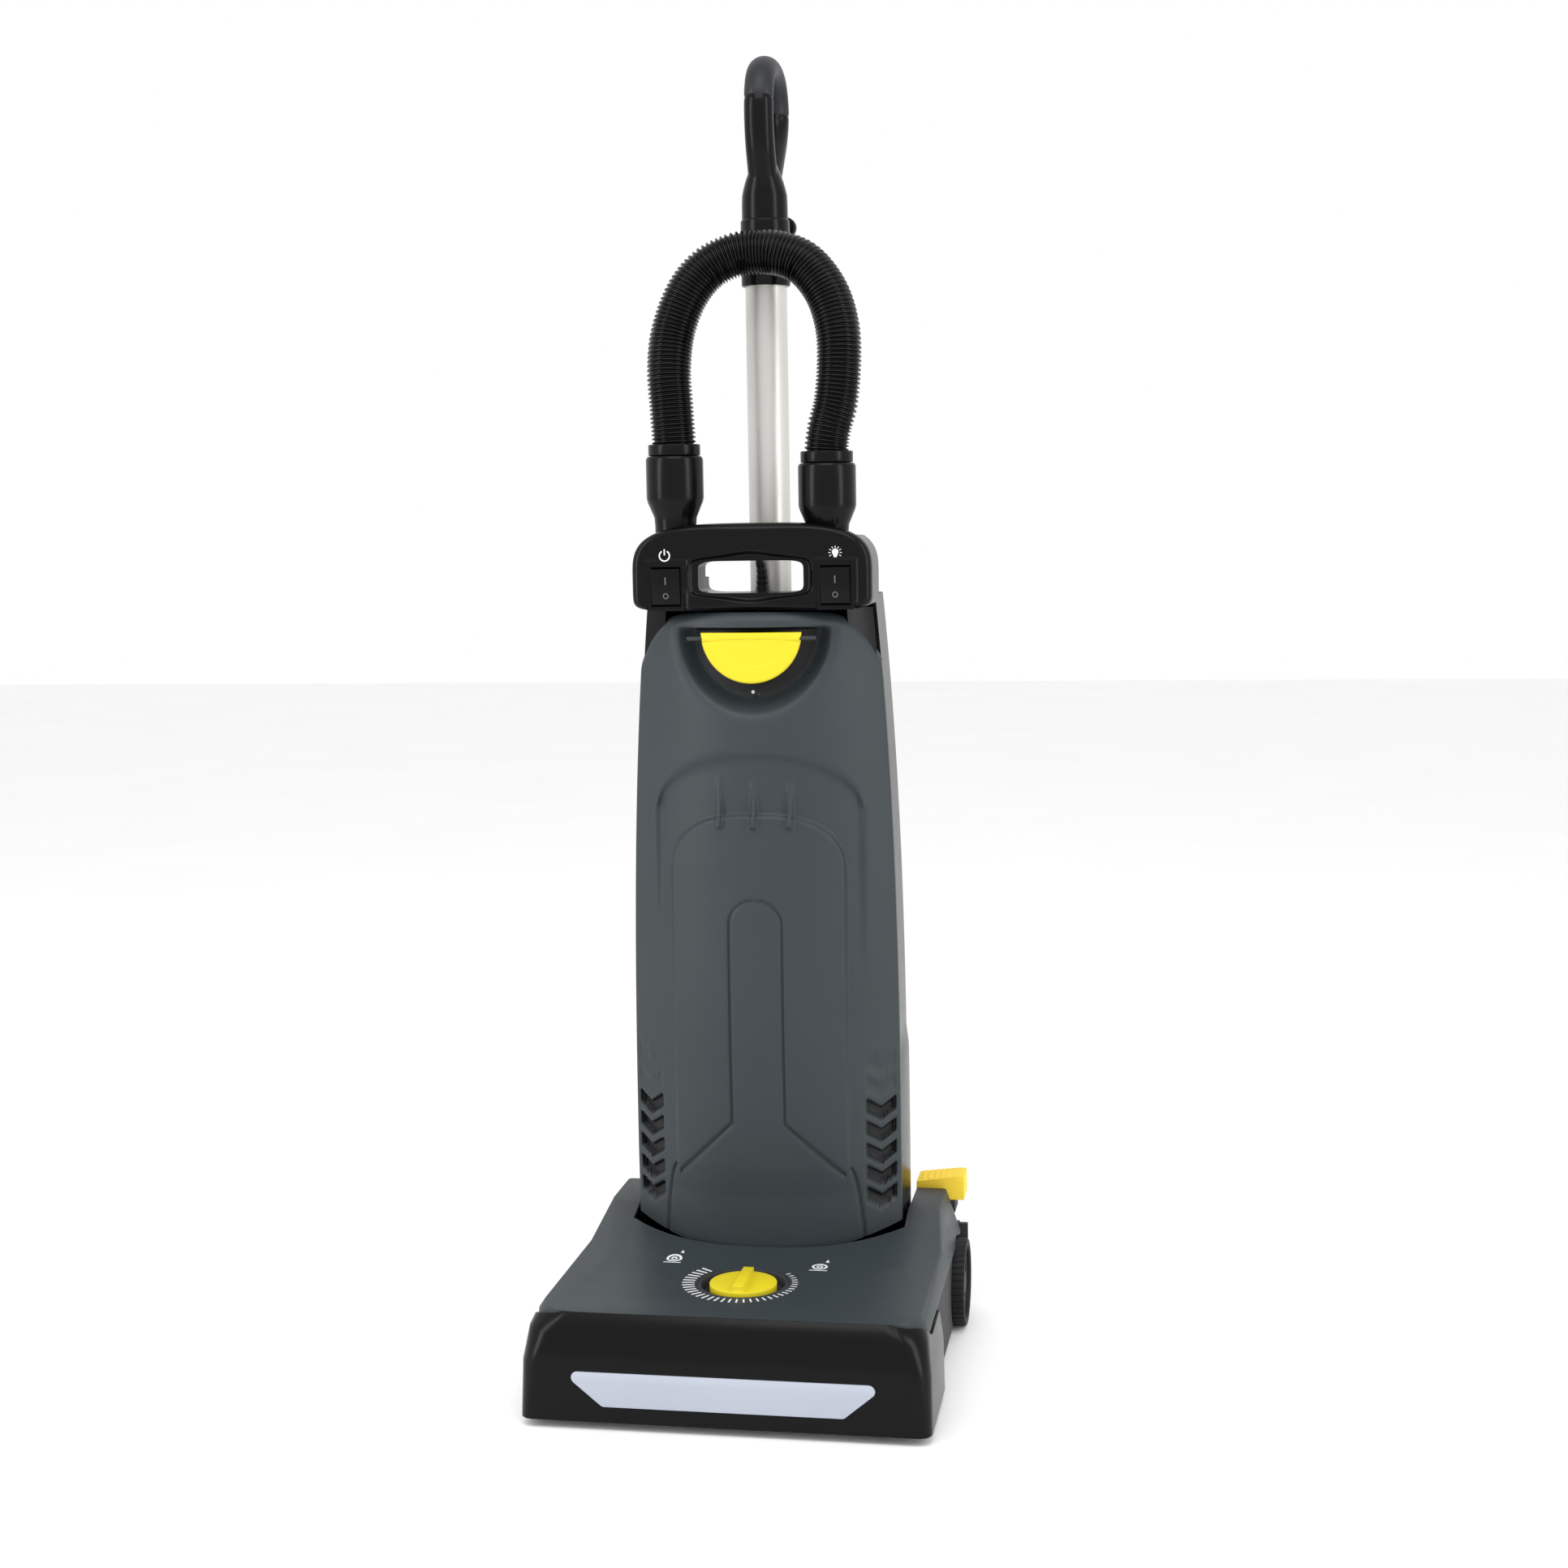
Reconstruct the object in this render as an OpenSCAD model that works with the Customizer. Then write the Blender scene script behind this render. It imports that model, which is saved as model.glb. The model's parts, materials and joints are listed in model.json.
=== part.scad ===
// Upright vacuum cleaner with a powered brush head, a bag chamber and a lift-off suction hose.
// Millimetres. X to the machine's right as seen from the front, Y to the back, Z up.
// The origin is on the floor, midway between the front bumper and the rear cord hook.

/* [Overall] */
// Height of the top of the hand grip
overall_h = 1240; // [1200:5:1280]
// Width over the outer faces of the rear wheels
track_w = 376; // [372:2:384]
// Wall thickness of the moulded shells
wall = 3; // [2.4:0.2:3.4]

/* [Head] */
// Width of the front bumper at the floor
head_w = 369; // [360:1:370]
// Distance from the origin to the front of the bumper
head_front = 200; // [196:1:204]
// Height of the flat top of the head
head_top = 103; // [100:1:105]
// Height of the head cover beside the body
shoulder_top = 127; // [118:1:130]
// Radius of the rear wheels
wheel_r = 43; // [40:1:45]
// Radius of the brush roll over its bristles
brush_r = 33; // [30:1:34]
// Diameter of the height knob
knob_d = 62; // [50:1:64]

/* [Body] */
// Half width of the body at its foot
body_hw = 130; // [126:1:131]
// Half width of the front cover at its top
body_top_hw = 113; // [108:1:116]
// How far the front cover's middle stands ahead of its corners
body_crown = 44; // [36:1:48]
// Height of the top edge of the front cover
cover_top = 714; // [708:1:716]
// Height of the top deck behind the carry handle
deck_z = 728; // [724:1:729]
// Height of the top of the carry handle
panel_top = 797; // [794:1:800]
// Distance from the origin to the back of the rear housing
body_back = 150; // [146:1:152]

/* [Handle] */
// Outside diameter of the handle tube
tube_d = 40; // [36:1:42]
// Distance from the origin back to the handle tube's axis
tube_y = 118; // [114:1:120]

/* [Hose and cord] */
// Outside diameter of the suction hose
hose_d = 42; // [38:1:42]
// Diameter of the mains cord
cord_d = 7.5; // [7:0.1:8]

/* [Hidden] */

$fn = 64;
HULL_FN = 32;         // facets of the shapes that hull() joins
EPS = 0.01;
RUN = 0.05;           // radial clearance of a running fit
GAP = 0.4;            // clearance between bodies that pass each other

// Head
skirt_z = 8;          // lower edge of the bumper and the base
floor_t = 3;          // thickness of the base's floor
base_hw = 176;        // half width of the base
base_y0 = -176;       // front of the base
base_y1 = 64;         // back of the base's floor
cover_hw = 178;       // half width of the head cover
cover_skirt = 84;     // lower edge of the head cover
cover_back = 150;     // back edge of the head cover
bay_gap = 4;          // gap between the body and the head around it
pivot_y = 112;        // axis of the rear wheels and of the recline pivot
axle_r = 6;
trunnion_r = 20;
bush_r = 24;
arm_x0 = 136;         // inner face of the arms that carry the body
arm_x1 = 146;
arm_top = 83.6;
carrier_x0 = 150;     // plates that hold the rear axle
carrier_x1 = 158;
wheel_w = 24;
tyre_t = 8;
brush_y = -122;       // brush roll axis
brush_z = 38;
brush_len = 300;
core_r = 17;
shaft_r = 5;
motor_y = 30;         // brush motor axis, and the axis that the brush cradle swings on
motor_z = 43;
motor_r = 26;
pulley_x = 104;       // belt plane
pulley_w = 14;
motor_pulley_r = 10;
brush_pulley_r = 20;
belt_t = 2;
cradle_x = 152;       // inner face of the cradle's side plates
cradle_t = 5;
stub_r = 6;
roller_y = -64;
roller_r = 12;
roller_x = 80;
roller_w = 24;
pin_r = 3;
SCREW_X = [-140, 0, 140];
SCREW_Y = [-166, -54];
knob_y = -90;
well_r = 42;
well_z = 92;
cam_z = 72.5;         // lowest point of the knob's cam
lens_top_z = 54;
lens_bottom_z = 22;
lens_top_hw = 130;
lens_bottom_hw = 112;
lens_corner_r = 6;

// Pedal
pedal_y = 128;
pedal_z = 100;
pedal_x0 = 129;
pedal_x1 = 181;
pedal_pin_r = 3;
spring_x = 165;
spring_y = 172;
spring_z0 = 84;

// Body
seam_y = 60;          // joint between the front cover and the rear housing
foot_z = 75;          // underside of the rear housing
cover_foot = 95;      // lowest edge of the front cover
side_foot = 113;      // lowest edge of the front cover's sides
shelf_z = 330;        // shelf between the motor and the bag
fan_y = 78;           // axis of the suction motor and its fan
cavity_back = 146;    // inner face of the rear housing's back wall
duct_x = -60;         // dirt duct from the head up into the body
bulge_z = 300;        // below this the rear housing is wider
latch_z = 695;
latch_r = 47.5;
latch_axis_y = 6;
latch_axis_z = 690;
recess_r = 69;
recess_depth = 24;
recess_top = 699;
panel_seam_hw = 84;
panel_seam_z = 174;
hinge_y = 6;          // axis that the front cover opens on
hinge_z = 108;
hinge_x = 20;         // inner face of the two hinge arms
hinge_pin_r = 1.5;
vent_x = 112;
vent_w = 25;
vent_h = 18;
vent_pitch = 21.4;
vent_z0 = 150.5;
window_hw = 50;
window_z0 = 732;
window_z1 = 762;
panel_y0 = 5;         // front of the top panel
panel_y1 = 60;
bar_y1 = 44;          // back of the carry handle's bar
switch_x = 80;
switch_z = 738.5;
switch_w = 35;
switch_h = 45;
rocker_w = 27;
rocker_h = 34;
rocker_pin_r = 1.2;
rocker_pin_y = 8;

// Handle
tube_t = 1.5;
tube_r = tube_d / 2;
tube_z0 = 565;
tube_z1 = 1050;
socket_z0 = 1022;
socket_z1 = 1127;
grip_a = 14;          // half width of the grip's section across the machine
grip_b = 12;          // half thickness of the grip's section
pad_t = 1.2;
hook_z = 1083;

// Hose
hose_r = hose_d / 2;
hose_left_x = -76;
hose_right_x = 69;
hose_y = 37;
left_cuff_z = 817;
right_cuff_z = 808;
cuff_r = 27;
neck_r = 19.5;
port_r = 21.5;
port_z0 = 716.5;

// Cord
cord_r = cord_d / 2;
gland_x = -3;
gland_y = 87;
gland_z = deck_z;
coil_y = 172;
coil_z = 626;
coil_r = 66;
coil_section_r = 20;
plug_x = 72;

// Routes, as round numbers: the suction hose from the left cuff to the right one
HOSE_ROUTE = [
    [-76, 37, 846], [-76, 37, 872], [-78, 38, 905], [-80, 40, 940], [-77, 46, 975],
    [-65, 52, 1009], [-47, 59, 1033], [-23, 64, 1046], [0, 66, 1049], [22, 64, 1047],
    [47, 60, 1036], [68, 53, 1010], [79, 46, 978], [81, 42, 945], [78, 39, 908],
    [72, 37, 884], [69, 37, 864], [69, 37, 836]
];
// The mains cord from its gland, round the handle tube and down to the coil on the lower hook
CORD_ROUTE = [
    [-3, 87, 746], [-6, 88, 762], [-14, 93, 777], [-26, 104, 787], [-34, 122, 790],
    [-34, 145, 785], [-29, 162, 769], [-18, 171, 749], [-4, 174, 728], [12, 173, 706]
];
// The cord's last stretch, from the coil down to the plug
TAIL_ROUTE = [[72, 176, 598], [78, 182, 570], [80, 184, 545], [76, 182, 520], [72, 180, 498]];
// Middle line of the grip's loop in the fore-aft plane, as (Y, Z)
GRIP_LOOP = [
    [114, 1112], [108, 1130], [99, 1150], [94, 1172], [95, 1195], [104, 1215], [122, 1226],
    [146, 1228], [168, 1221], [181, 1204], [181, 1184], [170, 1164], [153, 1145], [137, 1128],
    [124, 1110]
];
PAD_FIRST = 8;        // the soft pad covers the loop between these two rings
PAD_LAST = 19;

// ---- functions ----

function unit(v) = v / norm(v);

// Point at t in 0..1 on a Catmull-Rom curve between b and c
function spline_at(a, b, c, d, t) =
    0.5 * ((2 * b) + (c - a) * t + (2 * a - 5 * b + 4 * c - d) * t * t
        + (3 * b - a - 3 * c + d) * t * t * t);

// Smooth line through the points, with n steps from each point to the next
function smooth_line(points, n) =
    let (last = len(points) - 1)
    concat(
        [for (i = [0:last - 1], k = [0:n - 1])
            spline_at(points[max(i - 1, 0)], points[i], points[i + 1], points[min(i + 2, last)],
                k / n)],
        [points[last]]
    );

// Direction of a line at point i
function heading(line, i) = unit(line[min(i + 1, len(line) - 1)] - line[max(i - 1, 0)]);

// One ring of an elliptical section about point i: a along ref, b across it
function section_ring(line, i, ref, a, b, sides) =
    let (
        t = heading(line, i),
        u = unit(ref - (ref * t) * t),
        v = cross(t, u)
    )
    [for (k = [0:sides - 1])
        line[i] + a * cos(360 * k / sides) * u + b * sin(360 * k / sides) * v];

// Faces that join two rings, clockwise as seen from outside
function side_faces(first, second, sides) =
    [for (k = [0:sides - 1])
        [second + k, second + (k + 1) % sides, first + (k + 1) % sides, first + k]];

// Front face of the body: y of the outline at x, for half width hw
function front_y(x, hw, crown) = crown * pow(abs(x) / hw, 2.6);

// ---- shared shapes ----

// Solid bar swept along a line
module sweep(line, ref, a, b, sides) {
    count = len(line);
    points = [for (i = [0:count - 1]) each section_ring(line, i, ref, a, b, sides)];
    faces = concat(
        [[for (k = [0:sides - 1]) k]],
        [for (i = [0:count - 2]) each side_faces(i * sides, (i + 1) * sides, sides)],
        [[for (k = [sides - 1:-1:0]) (count - 1) * sides + k]]
    );
    polyhedron(points, faces);
}

// Hollow sleeve swept along part of a line, from ring first to ring last
module sweep_sleeve(line, ref, first, last, a, b, thick, sides) {
    rings = last - first + 1;
    outer = [for (i = [first:last])
        each section_ring(line, i, ref, a + thick, b + thick, sides)];
    inner = [for (i = [first:last]) each section_ring(line, i, ref, a, b, sides)];
    base = rings * sides;
    end = (rings - 1) * sides;
    faces = concat(
        [for (i = [0:rings - 2]) each side_faces(i * sides, (i + 1) * sides, sides)],
        [for (i = [0:rings - 2]) each side_faces(base + (i + 1) * sides, base + i * sides, sides)],
        side_faces(base, 0, sides),
        side_faces(end, base + end, sides)
    );
    polyhedron(concat(outer, inner), faces);
}

// Cylinder along X, from x0 to x1 at (y, z)
module x_rod(r, x0, x1, y, z) {
    translate([x0, y, z]) rotate([0, 90, 0]) cylinder(r = r, h = x1 - x0);
}

// Cylinder along Y, from y0 to y1 at (x, z)
module y_rod(r, y0, y1, x, z) {
    translate([x, y0, z]) rotate([-90, 0, 0]) cylinder(r = r, h = y1 - y0);
}

// Cylinder along Z
module z_rod(r, z0, z1, x, y) {
    translate([x, y, z0]) cylinder(r = r, h = z1 - z0);
}

// Box from its low corner to its high corner
module span(low, high) {
    translate(low) cube(high - low);
}

// The same shape on both sides of the machine
module both_sides() {
    children();
    mirror([1, 0, 0]) children();
}

// Thin slab of the head's plan: hw wide each side, front and back edges, front corner radius
module head_slab(hw, front, back, r, z, t) {
    translate([0, 0, z]) {
        for (s = [-1, 1]) {
            translate([s * (hw - r), front + r, 0]) cylinder(r = r, h = t, $fn = HULL_FN);
            translate([s * (hw - 4), back - 4, 0]) cylinder(r = 4, h = t, $fn = HULL_FN);
        }
    }
}

// Solid of the front bumper, drawn in by inset on every side
module bumper_solid(inset, back) {
    hw = head_w / 2 - inset;
    front = -head_front + inset;
    top = head_top - inset;
    hull() {
        head_slab(hw, front, back, 12 - inset, skirt_z, 1);
        head_slab(hw - 1, front, back, 18 - inset, 58, 1);
        head_slab(hw - 5, front + 4, back, 26 - inset, 86, 1);
        head_slab(hw - 11, front + 15, back, 36 - inset, top - 1, 1);
    }
}

// Solid of the head cover, drawn in by inset: a flat front and two raised shoulders
module cover_solid(inset) {
    hw = cover_hw - inset;
    front = -184 + inset;
    top = head_top - inset;
    hull() {
        head_slab(hw, front + 6, 30, 30, cover_skirt, 1);
        head_slab(hw - 2, front + 2, 30, 32, top - 8, 1);
        head_slab(hw - 7, front, 30, 34, top - 1, 1);
    }
    hull() {
        head_slab(hw, 0, cover_back - inset, 20, cover_skirt, 1);
        head_slab(hw - 6, 0, cover_back - inset, 20, top - 2, 1);
        head_slab(hw - 14, 70, cover_back - inset - 2, 12, shoulder_top - inset - 1, 1);
        head_slab(hw - 30, -30, 10, 12, top - 1, 1);
    }
}

// Plan outline of the body's front, closed at the back edge
module front_outline(hw, crown, front, back) {
    steps = 10;
    polygon(concat(
        [for (i = [-steps:steps]) [hw * i / steps, front + front_y(hw * i / steps, hw, crown)]],
        [[hw, back], [-hw, back]]
    ));
}

// Solid of the body's front, drawn in by inset, from z0 up to the cover's top
module front_solid(inset, z0) {
    crown = body_crown;
    heights = [z0, 300, 530, 634, cover_top - 14, cover_top];
    widths = [body_hw, body_hw - 1, body_hw - 5.5, body_hw - 11, body_top_hw + 1, body_top_hw - 6];
    fronts = [0, 0, 0, 0, 0, 5];
    hull() {
        for (i = [0:len(heights) - 1]) {
            translate([0, 0, heights[i] - (i > 0 ? 1 + inset : 0)])
                linear_extrude(1)
                    front_outline(widths[i] - inset, crown - fronts[i], fronts[i] + inset,
                        seam_y + (inset > 0 ? 10 : 0));
        }
    }
}

// Front cover as one shell, before its openings are cut
module front_shell() {
    difference() {
        front_solid(0, cover_foot);
        translate([0, 0, -wall]) front_solid(wall, cover_foot);
        span([-200, 30, 0], [200, 80, side_foot]);
    }
}

// Box that parts the lower panel from the front cover
module panel_window(gap) {
    span([-panel_seam_hw + gap, -20, 60], [panel_seam_hw - gap, 26, panel_seam_z - gap]);
}

// Vent slot in the shape of a V that points down
module vent_slot(w, h) {
    t = h * 0.45;
    rotate([90, 0, 0])
        linear_extrude(90, center = true)
            polygon([[-w / 2, h / 2], [0, -h / 2 + t], [w / 2, h / 2], [w / 2, h / 2 - t],
                [0, -h / 2], [-w / 2, h / 2 - t]]);
}

// Outline of the headlight lens, as a slab along Y
module lens_slab(grow, y0, y1) {
    r = lens_corner_r;
    translate([0, y0, 0])
        hull()
            for (s = [-1, 1]) {
                translate([s * lens_top_hw, 0, lens_top_z - r])
                    rotate([-90, 0, 0]) cylinder(r = r + grow, h = y1 - y0, $fn = HULL_FN);
                translate([s * (lens_bottom_hw - r), 0, lens_bottom_z + r])
                    rotate([-90, 0, 0]) cylinder(r = r + grow, h = y1 - y0, $fn = HULL_FN);
            }
}

// Front view of the top panel, as a slab along Y
module panel_slab(inset, y0, y1) {
    r = 33;
    z_low = cover_top + 1;
    difference() {
        hull() {
            for (s = [-1, 1]) {
                translate([s * (body_top_hw - r), y0, panel_top - 10 - r])
                    rotate([-90, 0, 0]) cylinder(r = r - inset, h = y1 - y0);
                translate([s * (body_top_hw - 4), y0, z_low + 4])
                    rotate([-90, 0, 0]) cylinder(r = 4 - inset, h = y1 - y0, $fn = HULL_FN);
            }
            translate([0, y0, panel_top - 60])
                rotate([-90, 0, 0]) cylinder(r = 60 - inset, h = y1 - y0);
        }
        // the round top would reach below the door's top edge
        span([-200, y0 - 1, 0], [200, y1 + 1, z_low + inset]);
    }
}

// ---- head ----

module head_base() {
    color([0.09, 0.09, 0.1])
    difference() {
        union() {
            // floor and walls of the brush chamber
            span([-base_hw, base_y0, skirt_z], [base_hw, base_y1, skirt_z + floor_t]);
            span([-base_hw, base_y0, skirt_z], [base_hw, base_y0 + wall, 80]);
            span([-148, -82, skirt_z], [pulley_x - 10, -82 + wall, 58]);
            both_sides() {
                span([base_hw - wall, base_y0, skirt_z], [base_hw, 100, 80]);
                // ears of the front rollers
                span([roller_x - 19, roller_y - 8, skirt_z], [roller_x - 14, roller_y + 8, 18]);
                span([roller_x + 14, roller_y - 8, skirt_z], [roller_x + 19, roller_y + 8, 18]);
                // stubs that the brush cradle swings on
                x_rod(stub_r, cradle_x, base_hw - 1, motor_y, motor_z);
                // arms for the body and plates for the axle
                span([arm_x0, 40, 14], [arm_x1, 154, arm_top]);
                span([arm_x0, 40, skirt_z], [carrier_x1, base_y1, 14]);
                span([carrier_x0, 50, 14], [carrier_x1, 164, arm_top]);
                span([arm_x0, 158, 30], [track_w / 2 - 4, 164, 88]);
                span([arm_x0, 148, 30], [carrier_x1, 158, arm_top]);
                span([carrier_x1, 158, 80], [174, 182, spring_z0]);
                span([carrier_x1 - 2, 50, 60], [base_hw, 62, 80]);
            }
            // saddle of the brush motor
            span([-60, motor_y - 20, skirt_z], [-52, motor_y + 20, motor_z]);
            span([72, motor_y - 20, skirt_z], [80, motor_y + 20, motor_z]);
        }
        // brush opening
        span([-154, brush_y - 36, 0], [154, brush_y + 36, 20]);
        both_sides() {
            // roller pockets, roller pins, bush seats and axle holes
            span([roller_x - 14, roller_y - 15, 0], [roller_x + 14, roller_y + 15, 20]);
            x_rod(pin_r, roller_x - 20, roller_x + 20, roller_y, roller_r);
            x_rod(bush_r, arm_x0 - 1, arm_x1 + 1, pivot_y, wheel_r);
            x_rod(axle_r, carrier_x0 - 1, carrier_x1 + 1, pivot_y, wheel_r);
            // room for the wheel
            x_rod(wheel_r + 3, carrier_x1 + 2, 200, pivot_y, wheel_r);
        }
        x_rod(motor_r, -70, 90, motor_y, motor_z);
    }
    // ears of the pedal's pin
    color([0.09, 0.09, 0.1])
    difference() {
        union() {
            span([arm_x0, pedal_y - 8, arm_top - 1], [arm_x0 + 4, pedal_y + 8, pedal_z + 8]);
            span([carrier_x1 - 4, pedal_y - 8, arm_top - 1], [carrier_x1, pedal_y + 8, pedal_z + 8]);
        }
        x_rod(pedal_pin_r, arm_x0 - 1, carrier_x1 + 1, pedal_y, pedal_z);
    }
}

module sole_plate() {
    color([0.7, 0.71, 0.73])
    difference() {
        span([-168, -172, skirt_z - 2.5], [168, -46, skirt_z]);
        span([-150, brush_y - 34, 0], [150, brush_y + 34, 20]);
        both_sides()
            span([roller_x - 14, roller_y - 15, 0], [roller_x + 14, roller_y + 15, 20]);
        // seats of the flush screws
        for (x = SCREW_X, y = SCREW_Y)
            z_rod(3.8, 0, skirt_z - 0.7, x, y);
    }
}

module head_cover() {
    color([0.2, 0.23, 0.24])
    difference() {
        cover_solid(0);
        translate([0, 0, -EPS]) cover_solid(wall);
        // bay for the body
        translate([0, 0, 40]) linear_extrude(120)
            front_outline(body_hw + bay_gap, body_crown, -bay_gap, 200);
        z_rod(well_r + 0.2, 60, 130, 0, knob_y);
        // room for the rear wheels, and a slot for the pedal's lever
        both_sides() x_rod(wheel_r + 3, 160, 200, pivot_y, wheel_r);
        span([arm_x0 + 2, 140, cover_skirt - 1], [carrier_x1, 160, pedal_z + 8]);
    }
}

module front_bumper() {
    color([0.05, 0.05, 0.06])
    difference() {
        bumper_solid(0, -80);
        translate([0, 0, -EPS]) bumper_solid(wall, -70);
        span([-300, -220, -10], [300, -60, skirt_z - EPS]);
        // the head cover lies behind the curved top seam
        translate([0, 0, cover_skirt - 2]) linear_extrude(60) hull()
            for (s = [-1, 1]) {
                translate([s * (cover_hw - 32), -184.4 + 34]) circle(r = 34, $fn = HULL_FN);
                translate([s * (cover_hw - 8), -60]) circle(r = 12, $fn = HULL_FN);
            }
        lens_slab(0.2, -206, -190);
    }
}

module light_lens() {
    color([0.85, 0.9, 0.95])
    difference() {
        lens_slab(0, -head_front, -head_front + 6);
        lens_slab(-2, -head_front + 2, -head_front + 7);
    }
}

module led_board() {
    color([0.1, 0.4, 0.2])
    union() {
        span([-116, base_y0 - 1.6, 28], [116, base_y0, 48]);
        for (i = [-5:5])
            span([i * 20 - 2.5, base_y0 - 2.6, 35.5], [i * 20 + 2.5, base_y0 - 1.6, 40.5]);
    }
}

module knob_well() {
    color([0.04, 0.04, 0.05])
    difference() {
        union() {
            z_rod(well_r, well_z - 2, head_top, 0, knob_y);
            z_rod(well_r + 4, head_top - wall - 2.2, head_top - wall - 0.2, 0, knob_y);
        }
        z_rod(well_r - 3, well_z, head_top + 1, 0, knob_y);
        z_rod(6.5, well_z - 3, well_z + 1, 0, knob_y);
    }
}

module height_knob() {
    color([0.93, 0.88, 0.1])
    union() {
        z_rod(knob_d / 2, well_z + 1.5, head_top + 1, 0, knob_y);
        span([-5, knob_y - knob_d / 2 + 3, head_top], [5, knob_y + knob_d / 2 - 3, head_top + 6]);
        z_rod(6, 82, well_z + 2, 0, knob_y);
        z_rod(9, cam_z, 82, 2, knob_y);
    }
}

module brush_motor() {
    color([0.6, 0.6, 0.62])
    union() {
        x_rod(motor_r, -66, 86, motor_y, motor_z);
        x_rod(12, 86, 92, motor_y, motor_z);
        x_rod(4, 92, pulley_x + pulley_w, motor_y, motor_z);
    }
}

module motor_pulley() {
    color([0.75, 0.75, 0.77])
    difference() {
        union() {
            x_rod(motor_pulley_r, pulley_x, pulley_x + pulley_w, motor_y, motor_z);
            x_rod(motor_pulley_r + 4, pulley_x - 2, pulley_x, motor_y, motor_z);
            x_rod(motor_pulley_r + 4, pulley_x + pulley_w, pulley_x + pulley_w + 2, motor_y, motor_z);
        }
        x_rod(4 + RUN, pulley_x - 3, pulley_x + pulley_w + 3, motor_y, motor_z);
    }
}

// Outline of the belt's outer or inner side, as a slab along X
module belt_slab(grow, x0, x1) {
    hull() {
        x_rod(motor_pulley_r + grow, x0, x1, motor_y, motor_z);
        x_rod(brush_pulley_r + grow, x0, x1, brush_y, brush_z);
    }
}

module drive_belt() {
    color([0.07, 0.07, 0.07])
    difference() {
        belt_slab(GAP + belt_t, pulley_x + 1, pulley_x + pulley_w - 1);
        belt_slab(GAP, pulley_x, pulley_x + pulley_w);
    }
}

module brush_cradle() {
    color([0.12, 0.12, 0.13])
    difference() {
        union() {
            both_sides() {
                x_rod(11, cradle_x + 1, cradle_x + 1 + cradle_t, motor_y, motor_z);
                x_rod(11, cradle_x + 1, cradle_x + 1 + cradle_t, brush_y, brush_z);
                span([cradle_x + 1, brush_y, 31], [cradle_x + 1 + cradle_t, motor_y, 49]);
            }
            // cross bar, and the pad that the knob's cam presses on
            span([-cradle_x - 2, -74, 60], [cradle_x + 2, -68, 68]);
            both_sides()
                span([cradle_x + 1, -76, 44], [cradle_x + 1 + cradle_t, -66, 68]);
            span([-16, -96, 64], [16, -70, 68]);
        }
        both_sides() {
            x_rod(stub_r + RUN, cradle_x - 1, cradle_x + 10, motor_y, motor_z);
            x_rod(shaft_r + RUN, cradle_x - 1, cradle_x + 10, brush_y, brush_z);
        }
    }
}

module brush_core() {
    color([0.15, 0.15, 0.16])
    union() {
        x_rod(core_r, -brush_len / 2, pulley_x - 2, brush_y, brush_z);
        x_rod(brush_pulley_r, pulley_x - 2, pulley_x + pulley_w + 2, brush_y, brush_z);
        x_rod(core_r, pulley_x + pulley_w + 2, brush_len / 2, brush_y, brush_z);
        x_rod(shaft_r, -cradle_x - 6, cradle_x + 6, brush_y, brush_z);
    }
}

// Two helical rows of bristle tufts
module brush_bristles() {
    tufts = 21;
    x0 = -brush_len / 2 + 8;
    pitch = (pulley_x - 12 - x0) / (tufts - 1);
    color([0.02, 0.02, 0.02])
    for (i = [0:tufts - 1], a = [0, 180])
        translate([x0 + i * pitch, brush_y, brush_z]) rotate([a + i * 15, 0, 0])
            translate([0, 0, core_r]) cylinder(r = 2.6, h = brush_r - core_r);
}

module rear_axle() {
    color([0.7, 0.7, 0.72])
    x_rod(axle_r, -track_w / 2 + 3, track_w / 2 - 3, pivot_y, wheel_r);
}

module trunnion_bushes() {
    color([0.85, 0.85, 0.82])
    both_sides()
        difference() {
            x_rod(bush_r, arm_x0, arm_x1, pivot_y, wheel_r);
            x_rod(trunnion_r, arm_x0 - 1, arm_x1 + 1, pivot_y, wheel_r);
        }
}

// Hub of a rear wheel on the right-hand side
module wheel_hub() {
    x0 = track_w / 2 - wheel_w;
    x1 = track_w / 2;
    difference() {
        union() {
            x_rod(wheel_r - tyre_t, x0 + 2, x1 - 4, pivot_y, wheel_r);
            x_rod(14, x0, x1 - 2, pivot_y, wheel_r);
        }
        x_rod(wheel_r - tyre_t - 6, x1 - 9, x1 + 1, pivot_y, wheel_r);
        x_rod(axle_r + RUN, x0 - 1, x1 - 2.6, pivot_y, wheel_r);
    }
    x_rod(11, x1 - 9, x1 - 2.6, pivot_y, wheel_r);
    for (a = [0:60:300])
        translate([x1 - 9, pivot_y, wheel_r]) rotate([a, 0, 0])
            span([-0.5, 9, -2], [4.5, wheel_r - tyre_t - 5, 2]);
}

module wheel_tyre() {
    x0 = track_w / 2 - wheel_w;
    r0 = wheel_r - tyre_t;
    translate([x0, pivot_y, wheel_r]) rotate([0, 90, 0])
        rotate_extrude()
            polygon([[r0, 1], [wheel_r - 2, 1], [wheel_r, 4], [wheel_r, wheel_w - 4],
                [wheel_r - 3, wheel_w], [r0, wheel_w]]);
}

module wheel_right() {
    color([0.12, 0.12, 0.13]) wheel_axle_cut() wheel_hub();
}

module wheel_left() {
    color([0.12, 0.12, 0.13]) mirror([1, 0, 0]) wheel_axle_cut() wheel_hub();
}

// Keeps the hub clear of the axle's end
module wheel_axle_cut() {
    difference() {
        children();
        x_rod(axle_r + RUN, track_w / 2 - wheel_w - 1, track_w / 2 - 2.8, pivot_y, wheel_r);
    }
}

module tyre_right() {
    color([0.05, 0.05, 0.05]) wheel_tyre();
}

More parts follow.
